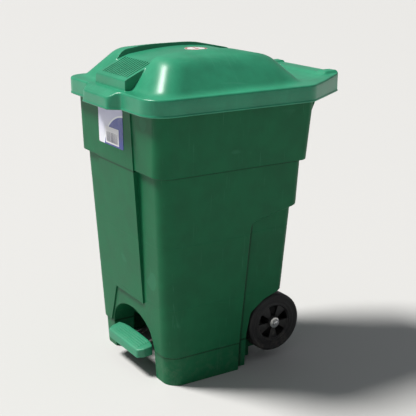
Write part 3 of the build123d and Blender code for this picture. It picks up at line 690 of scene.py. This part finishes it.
# the dome's slopes run from its foot to its crest; each at the front and at the rear
DOME_FOOT = ((-36, 226), (398, 196))       # (y, half width)
DOME_CREST = ((22, 156), (348, 142))       # (y, half width)
DOME_CREST_Z = ((22, 808), (348, 794))     # (y, z)
LID_WALL = 3.2
LID_FRONT, LID_REAR = -69, 541
LIP_FRONT, LIP_SLOPE_END = -95, -70
STRIP_HALF_W = 80
PAD_FRONT = -52                   # front face of the thumb pad
# side view of the sunk middle strip: (y, z)
STRIP_LINE = ((-52, 760), (34, 800), (110, 810), (190, 813.5), (262, 809), (348, 790),
              (390, FLANGE_Z))
# right half of the lid's plan, from the lip to the tail: (x, y, corner radius)
LID_PLAN = ((68, LIP_FRONT, 7), (88, LID_FRONT, 8), (240, LID_FRONT, 57), (240, 384, 60),
            (138, LID_REAR, 14))
HINGE = (488, 708)                # y and z of the hinge
SEAM_X = 92                       # the lid's grid keeps its columns straight inside this half width


def lean(v, low, high):
    """The straight line through two points (v, height)."""
    return low[1] + (v - low[0]) * (high[1] - low[1]) / (high[0] - low[0])


def smooth_min(a, b, blend):
    near = np.maximum(blend - np.abs(a - b), 0) / blend
    return np.minimum(a, b) - near * near * blend / 4


def smooth_max(a, b, blend):
    return -smooth_min(-a, -b, blend)


def ease_in(v, start, end):
    t = np.clip((v - start) / (end - start), 0, 1)
    return t * t * (3 - 2 * t)


def dome_height(x, y):
    """The dome: four broad-cornered slopes under a nearly flat crown."""
    side = np.abs(x)
    foot = lean(y, *DOME_FOOT)
    crest = lean(y, *DOME_CREST)
    crest_z = lean(y, *DOME_CREST_Z)
    flank = FLANGE_Z + (foot - side) * (crest_z - FLANGE_Z) / (foot - crest)
    (front, _), (rear, _) = DOME_FOOT
    crest_front, crest_rear = DOME_CREST_Z
    front_slope = lean(y, (front, FLANGE_Z), crest_front)
    ends = smooth_min(front_slope, lean(y, (rear, FLANGE_Z), crest_rear), 20)
    slopes = smooth_min(ends, flank, 70)
    crown = smooth_min(lean(y, crest_front, CROWN_FRONT), lean(y, crest_rear, CROWN_REAR), 8)
    crown = smooth_min(crown, crest_z + (crest - side) * (CROWN_Z - crest_z) / (crest - SEAM_X), 8)
    crown = smooth_min(crown, CROWN_Z + 0 * y, 5)
    return smooth_max(smooth_min(slopes, crown + 2, 14), FLANGE_Z + 0 * y, 10)


def strip_height(y):
    """The strip sunk into the dome; its front end is the thumb pad, proud of the dome's slope."""
    z = lean(y, *STRIP_LINE[:2])
    for low, high in zip(STRIP_LINE[1:], STRIP_LINE[2:]):
        z = smooth_min(z, lean(y, low, high), 4)
    z = smooth_max(z, FLANGE_Z + 0 * y, 8)
    return FLANGE_Z + (z - FLANGE_Z) * ease_in(y, PAD_FRONT - 1.4, PAD_FRONT + 1.4)


def tail_rise(x, y):
    """The dip behind the dome, then the hump over the grip with a knuckle at each end."""
    side = np.abs(x)
    dip = -3.0 * ease_in(y, 402, 432) * (1 - ease_in(y, 468, 490)) * (1 - ease_in(side, 130, 165))
    hump = 7.5 * ease_in(y, 487, 503) * (1 - ease_in(side, 124, 138))
    knuckle = 4.5 * ease_in(y, 490, 510) * ease_in(side, 97, 103) * (1 - ease_in(side, 131, 140))
    shoulder = 5.0 * ease_in(y, 430, 536) * ease_in(side, 122, 136)
    return dip + hump + knuckle + shoulder


def lid_height(x, y):
    middle = strip_height(y)
    beside = ease_in(np.abs(x), STRIP_HALF_W - 1.6, STRIP_HALF_W + 1.6)
    z = middle + (dome_height(x, y) - middle) * beside + tail_rise(x, y)
    lip = lean(y, (LIP_SLOPE_END, FLANGE_Z + 0.8), (LIP_FRONT, 722))
    return np.where(y < -60, smooth_min(z, lip, 2), z)


def lid_rows():
    """Where the grid's rows lie: close together at the lip, the pad's face and the tail."""
    rows = [-69, -68.3, -66.5, -64, -61, -58.5, -56, -54.5]
    rows += [PAD_FRONT + step for step in (-1.6, -1.0, -0.5, 0, 0.5, 1.0, 1.6, 3)]
    rows += list(np.linspace(-46, 398, 122)) + list(np.linspace(402, 522, 34))
    return rows + [525, 528, 530.5, 533, 535.5, 537.5, 539.2, 540.4, 541]


def lid_columns():
    """Columns of the right half: (x, share); past SEAM_X each lies a share of the way out."""
    fixed = list(np.linspace(0, 76, 20))
    fixed += [78, 78.6, 79.3, 80, 80.7, 81.4, 82, 84, 87, 89.5, SEAM_X]
    return [(x, 0.0) for x in fixed] + [(SEAM_X, i / 34) for i in range(1, 35)]


def lid_half_plan():
    """The plan's right half as points from the lip to the tail, with its corners rounded."""
    corners = [(0, LIP_FRONT)] + [corner[:2] for corner in LID_PLAN] + [(0, LID_REAR)]
    radii = [0] + [corner[2] for corner in LID_PLAN] + [0]
    return np.array(rounded(corners, radii, 10))


def lid_border():
    """Points on the lid's edge for the grid's front row, its right column and its rear row."""
    plan = lid_half_plan()
    turn_front = int(np.argmax((plan[:, 0] > 170) & (plan[:, 1] >= LID_FRONT - 0.01)))
    turn_rear = int(np.argmax(plan[:, 1] > LID_REAR - 0.01))
    front, side = plan[:turn_front + 1], plan[turn_front:turn_rear + 1]
    rows, columns = lid_rows(), lid_columns()
    x_front = [x if not share else SEAM_X + (front[-1, 0] - SEAM_X) * share for x, share in columns]
    x_rear = [x if not share else SEAM_X + (side[-1, 0] - SEAM_X) * share for x, share in columns]
    front_row = [(x, np.interp(x, front[:, 0], front[:, 1])) for x in x_front]
    side_column = [(np.interp(y, side[:, 1], side[:, 0]), y) for y in rows]
    return front_row, side_column, [(x, LID_REAR) for x in x_rear]


def lid_loop():
    """The whole edge in order, counter-clockwise seen from above, with its outward directions."""
    front, side, rear = lid_border()
    right = front + side[1:] + rear[-2::-1]
    left = [(-x, y) for x, y in right[-2:0:-1]]
    loop = np.array(right + left, float)
    along = np.roll(loop, -1, 0) - np.roll(loop, 1, 0)
    out = np.stack([along[:, 1], -along[:, 0]], 1)
    return loop, out / np.linalg.norm(out, axis=1, keepdims=True)


def lid_grid(loop, out):
    """Rows of points (x, y) of the lid's top, which end EDGE_R inside its edge."""
    rows, columns = lid_rows(), lid_columns()
    inner = loop - out * EDGE_R
    n_col, n_row = len(columns), len(rows)
    front, side = inner[:n_col], inner[n_col - 1:n_col - 1 + n_row]
    rear = inner[n_col - 2 + n_row:n_col - 2 + n_row + n_col][::-1]
    half = []
    for j, y in enumerate(rows):
        level = y + EDGE_R * (1 - ease_in(y, LID_FRONT, -54)) - EDGE_R * ease_in(y, 520, LID_REAR)
        follow = np.clip((-54 - y) / 15, 0, 1)
        line = []
        for i, (x, share) in enumerate(columns):
            px = x if not share else SEAM_X + (side[j][0] - SEAM_X) * share
            py = level + (side[j][1] - level) * share if share else level
            py += (front[i][1] - (LID_FRONT + EDGE_R)) * follow * (x < SEAM_X or share < 0.2)
            line.append((px, py))
        if j == 0:
            line = [tuple(p) for p in front]
        if j == n_row - 1:
            line = [tuple(p) for p in rear]
        line[-1] = tuple(side[j])
        half.append([(-px, py) for px, py in line[:0:-1]] + line)
    return np.array(half)


def soften(mesh, inside):
    """Evens out the part of a mesh that lies inside a region."""
    rounds = 8
    axes = {"use_axis_x": True, "use_axis_y": True, "use_axis_z": True}
    with opened(mesh) as work:
        picked = [v for v in work.verts if inside(v.co)]
        for _ in range(rounds):
            bmesh.ops.smooth_vert(work, verts=picked, factor=0.5, **axes)


def beside_lip(point):
    """The two corners where the lip leaves the lid's front."""
    return mm(56) < abs(point.x) < mm(100) and point.y < FOOT_LINE - mm(57) and point.z > mm(700)


def grid_border(n_row, n_col):
    """Numbers of the grid's border points, in the order of lid_loop."""
    half, last_row = n_col // 2, (n_row - 1) * n_col
    border = list(range(half, n_col))
    border += [j * n_col + n_col - 1 for j in range(1, n_row)]
    border += [last_row + i for i in range(n_col - 2, -1, -1)]
    return border + [j * n_col for j in range(n_row - 2, -1, -1)] + list(range(1, half))


def skirt_levels(edge_z):
    """Rings from the rounded edge down the skirt, to the bead at its foot: (inset, heights)."""
    turns = np.linspace(0, math.pi / 2, 6)[1:]
    levels = [(EDGE_R * (1 - math.sin(a)), edge_z - EDGE_R * (1 - math.cos(a))) for a in turns]
    skirt = ((0.2, 712), (0.3, 700), (0.2, 698.6), (-0.7, 697.6), (-0.9, 696.4), (-0.7, 694.8),
             (0.1, SKIRT_Z))
    return levels + [(inset, 0 * edge_z + h) for inset, h in skirt]


def make_lid():
    loop, out = lid_loop()
    grid = lid_grid(loop, out)
    n_row, n_col = grid.shape[:2]
    z = lid_height(grid[..., 0], grid[..., 1])
    points = [place(*p, h) for p, h in zip(grid.reshape(-1, 2), z.reshape(-1))]
    faces = [(j * n_col + i, j * n_col + i + 1, (j + 1) * n_col + i + 1, (j + 1) * n_col + i)
             for j in range(n_row - 1) for i in range(n_col - 1)]
    last = grid_border(n_row, n_col)
    for inset, height in skirt_levels(z.reshape(-1)[last]):
        start = len(points)
        points += [place(*(p - n * inset), h) for p, n, h in zip(loop, out, height)]
        now = list(range(start, start + len(loop)))
        faces += [(last[i - 1], now[i - 1], now[i], last[i]) for i in range(len(now))]
        last = now
    mesh = mesh_of("lid_shell", points, faces)
    outward(mesh)
    soften(mesh, beside_lip)
    lid = walled(as_object("lid_shell", mesh, LID_GREEN_PAINTED_LIGHT), LID_WALL)
    shade(lid.data, 50)
    return finished(lid, "lid_body", "green_lid", "lid")


def ray_out(outline, centre, angle):
    """Where a ray from the centre meets a closed outline."""
    ray = Vector((math.cos(angle), math.sin(angle)))
    best = None
    for a, b in zip(outline, outline[1:] + outline[:1]):
        a, b = Vector(a) - Vector(centre), Vector(b) - Vector(centre)
        edge = b - a
        cross = ray.x * edge.y - ray.y * edge.x
        if abs(cross) < 1e-12:
            continue
        far = (a.x * edge.y - a.y * edge.x) / cross
        on = (a.x * ray.y - a.y * ray.x) / cross
        if far > 0 and -1e-6 <= on <= 1 + 1e-6:
            best = far if best is None else max(best, far)
    return Vector(centre) + ray * best


def bored_plate(outline, centre, bore, x0, x1, name, material):
    """Plate in the y and z plane from x0 to x1, with a round hole."""
    steps = 48
    corners = [math.atan2(z - centre[1], y - centre[0]) % (2 * math.pi) for y, z in outline]
    angles = sorted(set([2 * math.pi * i / steps for i in range(steps)] + corners))
    count = len(angles)
    points, faces = [], []
    for x in (x0, x1):
        for a in angles:
            points.append(place(x, *ray_out(outline, centre, a)))
        for a in angles:
            points.append(place(x, centre[0] + bore * math.cos(a), centre[1] + bore * math.sin(a)))
    for i in range(count):
        k = (i + 1) % count
        rims = [(r * count + i, r * count + k) for r in range(4)]
        for one, other in ((0, 1), (2, 3), (0, 2), (1, 3)):
            faces.append((*rims[one], *rims[other][::-1]))
    mesh = mesh_of(name, points, faces)
    outward(mesh)
    shade(mesh)
    return as_object(name, mesh, material)


def make_lid_lugs():
    """The two ears under the tail that turn on the hinge rod."""
    hole_r = 5.1
    edge = [(472, 733), (472, 701), (474, 699), (479, 698), (497, 698), (502, 699), (504, 701),
            (504, 733)]
    for side, (x0, x1) in (("right", (127, 135)), ("left", (-135, -127))):
        lug = bored_plate(edge, HINGE, hole_r, x0, x1, f"lid_lug_{side}", LID_GREEN_PAINTED_LIGHT)
        finished(lug, "lid_body", "green_lid")
    outline = rectangle(mm(14), mm(24), place(0, 438, 0)[:2])
    seat = prism("crank_seat", outline, mm(724), mm(732), LID_GREEN_PAINTED_LIGHT, mm(0.6))
    finished(seat, "lid_body", "green_lid")


def make_pad_ribs():
    """Ribs up the thumb pad."""
    count, pitch, start, end = 12, 11.6, -40, 25
    (y0, z0), (y1, z1) = STRIP_LINE[:2]
    slope = math.atan2(z1 - z0, y1 - y0)
    middle = (start + end) / 2
    rib = pill((end - start) / math.cos(slope), 6, 2.2)
    rib.data.transform(Matrix.Rotation(slope, 4, "X"))
    z = lean(middle, *STRIP_LINE[:2]) - 0.4
    ribs = grown("pad_ribs", ROW_OF_PARTS, LID_GREEN_PAINTED_LIGHT, Part=rib, Count=count,
                 Start=place(-pitch * (count - 1) / 2, middle, z), Step=Vector((mm(pitch), 0, 0)))
    finished(ribs, "lid_body", "green_lid")


def make_lid_sticker():
    """Round sticker that follows the strip's curve."""
    low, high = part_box("lid_label")
    centre, radius = (low + high) / 2, (high.x - low.x) / 2
    points, faces, turns, rings = [], [], 64, 8
    points.append((centre.x, centre.y))
    for r in range(1, rings + 1):
        for t in range(turns):
            a = 2 * math.pi * t / turns
            far = radius * r / rings
            points.append((centre.x + far * math.cos(a), centre.y + far * math.sin(a)))
    for t in range(turns):
        faces.append((0, 1 + t, 1 + (t + 1) % turns))
        for r in range(rings - 1):
            a, b = 1 + r * turns, 1 + (r + 1) * turns
            faces.append((a + t, b + t, b + (t + 1) % turns, a + (t + 1) % turns))
    flat = np.array(points)
    height = lid_height(flat[:, 0] * 1000, (flat[:, 1] - FOOT_LINE) * 1000) / 1000 + mm(0.35)
    mesh = mesh_of("lid_sticker", [(x, y, z) for (x, y), z in zip(points, height)], faces)
    sticker = walled(as_object("lid_sticker", mesh, LABEL_LID), 0.4)
    shade(sticker.data)
    finished(sticker, "lid_body", "label", "lid_label")


# ------------------------------------------------------------------ tub and front sticker
def make_tub():
    """The tub keeps its moulded shape; its faces are joined and shaded by their size."""
    mesh = frame["nodes"]["tub"].data.copy()
    mesh.name = "tub_shell"
    with opened(mesh) as work:
        joined(work, 2e-6)
    shade(mesh, 42)
    tub = as_object("tub_shell", mesh, BODY_GREEN)
    weighted = tub.modifiers.new("even_shading", "WEIGHTED_NORMAL")
    weighted.keep_sharp = True
    weighted.weight = 100
    finished(tub, "tub_body", "green_body", "tub")


def stood_up(piece, x, y, z, lean_back=0.0):
    """Turns a flat piece drawn in x and y to face -Y, at a place in metres."""
    turn = Matrix.Rotation(math.pi / 2 + lean_back, 4, "X")
    piece.data.transform(Matrix.Translation((x, y, z)) @ turn)
    return piece


def make_front_sticker():
    low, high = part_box("front_label")
    middle = (low + high) / 2
    corners = rectangle((high.x - low.x) / 2, (high.z - low.z) / 2)
    lean_back = math.radians(0.56)
    face = middle.y - mm(0.15)
    outline = rounded(corners, [mm(4)] * 4)
    film = prism("front_sticker", outline, -mm(0.5), mm(0.25), LABEL_FRONT, mm(0.1), 1)
    stood_up(film, middle.x, face, middle.z, lean_back)
    finished(film, "tub_body", "label", "front_label")
    wide, tall = 73, 42
    box_x, box_z = -8.5, 612
    outline = rounded(rectangle(mm(wide / 2), mm(tall / 2)), [mm(1.5)] * 4)
    panel = prism("sticker_panel", outline, 0, mm(0.45), LABEL_WHITE)
    stood_up(panel, mm(box_x), face, mm(box_z), lean_back)
    finished(panel, "tub_body", "label")
    count, pitch = 17, 3.6
    bars = grown("sticker_bars", BARS, LABEL_GREY, Count=count, Seed=4, Thinnest=0.3,
                 Tilt=-lean_back, Size=Vector((mm(2.9), mm(0.3), mm(tall - 9))),
                 Start=Vector((mm(box_x - pitch * (count - 1) / 2), face - mm(0.45), mm(box_z))),
                 Step=Vector((mm(pitch), 0, 0)))
    finished(bars, "tub_body", "label")


# ------------------------------------------------------------------ pedal
# side view of the pedal's top and of its lower edge: (y, z), (y, z)
PEDAL_TOP, PEDAL_EDGE = ((-36, 72), (12, 81)), ((-40, 50), (12, 56))
PEDAL_REAR_Z = 67                 # lower edge at the rear, between the lever's bars


def make_pedal():
    """Foot plate: an open shell drawn in towards the front, with a rolled edge."""
    corners = [(-94, 2), (-72, 8), (-50.5, 10.5), (-50, 10.5), (0, 11.5), (50, 10.5), (50.5, 10.5),
               (72, 8), (94, 2), (92, -22), (82, -38), (-82, -38), (-92, -22)]
    outline = rounded(corners, [6, 20, 0, 0, 0, 0, 0, 20, 6, 9, 11, 11, 9], 6)
    count = len(outline)
    top = [place(x, y, lean(y, *PEDAL_TOP)) for x, y in outline]
    under = []
    for x, y in outline:
        over_lever = y > 9.9 and abs(x) < 50.2
        under.append(place(x, y, PEDAL_REAR_Z if over_lever else lean(y, *PEDAL_EDGE)))
    faces = [(i, (i + 1) % count, count + (i + 1) % count, count + i) for i in range(count)]
    mesh = mesh_of("pedal_plate", top + under, faces + [tuple(range(count))])
    outward(mesh)
    pedal = as_object("pedal_plate", mesh, PEDAL_GREEN)
    with opened(pedal.data) as work:
        plate = max(work.faces, key=lambda face: len(face.verts))
        bmesh.ops.bevel(work, geom=list(plate.edges), offset=mm(4.2), segments=5, profile=0.5,
                        affect="EDGES")
    walled(pedal, 3)
    shade(pedal.data, 40)
    finished(pedal, "pedal_body", "green_pedal", "pedal")
    pitch, count, first = 7, 5, -27
    (y0, z0), (y1, z1) = PEDAL_TOP
    slope = math.atan2(z1 - z0, y1 - y0)
    rib = pill(140, 3.8, 1.5, along="X")
    rib.data.transform(Matrix.Rotation(slope, 4, "X"))
    ribs = grown("pedal_ribs", ROW_OF_PARTS, PEDAL_GREEN, Part=rib, Count=count,
                 Start=place(0, first, lean(first, *PEDAL_TOP) - 0.4),
                 Step=Vector((0, mm(pitch), mm(pitch) * math.tan(slope))))
    finished(ribs, "pedal_body", "green_pedal")


# ------------------------------------------------------------------ wheels
AXLE = (325, 100)                 # y and z of the wheel axle
TYRE_IN, TYRE_OUT, TYRE_R = 132, 174, 79
RIM_R, HUB_R, WEB_IN, WEB_OUT = 54, 17, 162, 169
SPOKES = 5


def lathe_profile(corners, radii, side=1, steps=4):
    """Lathe profile with rounded corners, on the right or mirrored to the left."""
    return [(side * x, r) for x, r in rounded(corners, radii, steps)]


def tyre_profile(side):
    """Cross-section (x, radius): rounded shoulders, a ring on each wall, two tread grooves."""
    corners = [(TYRE_IN, RIM_R), (TYRE_IN, 60), (TYRE_IN + 1, 61.5), (TYRE_IN + 1, 69),
               (TYRE_IN, 70.5), (TYRE_IN, TYRE_R)]
    for x in (147, 159):
        corners += [(x - 1.4, TYRE_R), (x - 0.8, TYRE_R - 1.8), (x + 0.8, TYRE_R - 1.8),
                    (x + 1.4, TYRE_R)]
    corners += [(TYRE_OUT, TYRE_R), (TYRE_OUT, 70.5), (TYRE_OUT - 1, 69), (TYRE_OUT - 1, 61.5),
                (TYRE_OUT, 60), (TYRE_OUT, RIM_R)]
    radii = [0.8, 0.6, 0.6, 0.6, 0.6, 7] + [0.3] * 8 + [7, 0.6, 0.6, 0.6, 0.6, 0.8]
    return lathe_profile(corners, radii, side, 5)


def spoke(side):
    """One wide spoke, a sector of the web, drawn about the hub."""
    half = math.radians(18)
    inner, outer = HUB_R - 1.5, RIM_R - 5
    rims = [(inner, turn) for turn in (-1, 0, 1)] + [(outer, turn) for turn in (1, 0.5, 0, -0.5, -1)]
    arc = [(mm(r) * math.cos(half * turn), mm(r) * math.sin(half * turn)) for r, turn in rims]
    piece = prism("spoke", arc, mm(WEB_IN), mm(WEB_OUT), WHEEL_BLACK, mm(1.3), 3)
    along_x = Matrix(((0, 0, side, 0), (1, 0, 0, 0), (0, 1, 0, 0), (0, 0, 0, 1)))
    piece.data.transform(Matrix.Rotation(math.radians(54), 4, "X") @ along_x)
    return piece


def make_wheel(side, name):
    centre = place(0, *AXLE)
    body = f"wheel_{name}"
    tyre = lathe(f"tyre_ring_{name}", tyre_profile(side), centre, TYRE_RUBBER, 128)
    finished(tyre, body, "tyre", f"tyre_{name}")
    # The barrel's inner wall runs from the rim down to the hub and closes the windows between the
    # spokes: a dark disc that is painted shade, standing where the wheel well's shade shows through.
    barrel = [(133, 54), (133, HUB_R - 0.5), (135.5, HUB_R - 0.5), (135.5, 47.5),
              (WEB_IN - 2, 46.5), (WEB_IN, 45.5), (WEB_OUT, 45.5), (WEB_OUT + 1.5, 47.5),
              (173, 48.5), (173, 54)]
    barrel = lathe_profile(barrel, [0.6, 0, 0, 1.5, 1.5, 1.5, 0.8, 0.8, 0.8, 0.6], side)
    rim = lathe(f"rim_barrel_{name}", barrel, centre, WHEEL_BLACK, 96)
    finished(rim, body, "wheel_plastic", f"wheel_rim_{name}")
    hub = [(130.5, 11), (130.5, 15.5), (132, HUB_R), (171, HUB_R), (173.5, 15.2), (173.5, 11)]
    hub = lathe_profile(hub, [0.4, 0.6, 0.8, 1.2, 0.6, 0.4], side)
    finished(lathe(f"wheel_hub_{name}", hub, centre, WHEEL_BLACK, 72), body, "wheel_plastic")
    spokes = grown(f"wheel_spokes_{name}", RING_OF_PARTS, WHEEL_BLACK, Part=spoke(side),
                   Count=SPOKES, Centre=centre, Turn=2 * math.pi / SPOKES)
    finished(spokes, body, "wheel_plastic")


# ------------------------------------------------------------------ grip
def make_grip():
    """Sleeve over the hinge rod with raised finger rings."""
    half, sleeve_r, ring_r, pitch = 112, 12.1, 13.6, 9.0
    centre = place(0, *HINGE)
    ends = [(-half, 5.2), (-half, sleeve_r), (half, sleeve_r), (half, 5.2)]
    profile = lathe_profile(ends, [0, 1.5, 1.5, 0], steps=5)
    sleeve = lathe("grip_sleeve", profile, centre, BLACK_NYLON, 64)
    finished(sleeve, "tub_body", "black_plastic", "handle_grip")
    ring_edge = [(-3, sleeve_r - 1), (-2.6, ring_r), (2.6, ring_r), (3, sleeve_r - 1)]
    ring_edge = lathe_profile(ring_edge, [0, 1.3, 1.3, 0])
    ring = lathe("ring", ring_edge, Vector(), BLACK_NYLON, 48)
    count = 23
    start = centre - Vector((mm(pitch * (count - 1) / 2), 0, 0))
    rings = grown("grip_rings", ROW_OF_PARTS, BLACK_NYLON, Part=ring, Count=count, Start=start,
                  Step=Vector((mm(pitch), 0, 0)))
    finished(rings, "tub_body", "black_plastic")


# ------------------------------------------------------------------ hardware
def make_hardware():
    """Small pieces that keep their CAD shape, with their edges eased by so many millimetres."""
    nylon = {"lid_crank": 0.6, "hinge_rod_caps": 0.6, "lift_rod_foot": 0, "lift_rod_yoke": 0.6,
             "lower_rod_guide": 0.6, "upper_rod_guide": 0.6, "axle_spacers": 0.4,
             "wheel_bush_right": 0.3, "wheel_bush_left": 0.3}
    zinc = {"pivot_bracket_right": 0.4, "pivot_bracket_left": 0.4, "axle_washers": 0.25,
            "axle_bolts": 0.35, "yoke_pin": 0.4, "lift_rod": 0.4, "hinge_rod": 0.4, "axle": 0.5,
            "pivot_rod": 0.5, "pivot_rod_clips": 0.2, "bracket_screws": 0, "guide_screws": 0,
            "pedal_screws": 0, "lid_crank_screws": 0}
    groups = ((nylon, BLACK_NYLON, "black_plastic"), ({"pedal_lever": 0}, BLACK_STEEL, "black_steel"),
              (zinc, ZINC, "zinc_steel"), ({"lid_buffers": 0.8}, SOFT_RUBBER, "rubber"))
    for nodes, material, slot in groups:
        for node, ease in nodes.items():
            refined(node, material, slot, ease)


# ------------------------------------------------------------------ stage, light and camera
def make_stage():
    """Pale floor, and a far backdrop of the same tone that lights nothing."""
    paint = blank("pale_floor", Roughness=0.75, Base_Color=(0.50, 0.50, 0.495, 1))[0]
    prism("floor", rectangle(50, 50), -0.02, -0.0002, paint)
    sides, far, tall = 48, 45, 40
    turns = [2 * math.pi * i / sides for i in range(sides)]
    points = [(far * math.cos(a), far * math.sin(a), z) for z in (-1, tall) for a in turns]
    walls = [(i, (i + 1) % sides, sides + (i + 1) % sides, sides + i) for i in range(sides)]
    paint = blank("pale_backdrop", Roughness=1.0, Emission_Strength=1.0, Base_Color=(0, 0, 0, 1),
                  Emission_Color=(0.79, 0.78, 0.76, 1))[0]
    backdrop = as_object("backdrop", mesh_of("backdrop", points, walls), paint)
    backdrop.visible_diffuse = backdrop.visible_glossy = backdrop.visible_shadow = False
    world = bpy.data.worlds.new("studio")
    bpy.context.scene.world = world
    world.use_nodes = True
    sky = world.node_tree.nodes["Background"]
    sky.inputs["Color"].default_value = (0.93, 0.96, 1.0, 1)
    sky.inputs["Strength"].default_value = 0.24


def soft_sun(name, direction, angle, strength, colour):
    """Even light that shines along a direction."""
    data = bpy.data.lights.new(name, "SUN")
    data.angle, data.energy, data.color = math.radians(angle), strength, colour
    lamp = bpy.data.objects.new(name, data)
    lamp.rotation_euler = Vector(direction).to_track_quat("-Z", "Y").to_euler()
    bpy.context.scene.collection.objects.link(lamp)


def make_camera():
    data = bpy.data.cameras.new("camera")
    data.lens, data.sensor_width = 82.4, 36
    data.clip_end = 200
    camera = bpy.data.objects.new("camera", data)
    camera.location = (2.069, -1.277, 1.100)
    aim = Vector((0.016, -0.007, 0.3935)) - camera.location
    camera.rotation_euler = aim.to_track_quat("-Z", "Y").to_euler()
    bpy.context.scene.collection.objects.link(camera)
    bpy.context.scene.camera = camera


make_camera()
make_stage()
soft_sun("key", (0.38, 0.42, -0.90), 16, 5.5, (1, 0.98, 0.95))
bpy.context.scene.view_settings.view_transform = "Standard"

make_tub()
make_lid()
make_lid_lugs()
make_pad_ribs()
make_lid_sticker()
make_front_sticker()
make_pedal()
for side, name in ((1, "right"), (-1, "left")):
    make_wheel(side, name)
make_grip()
make_hardware()
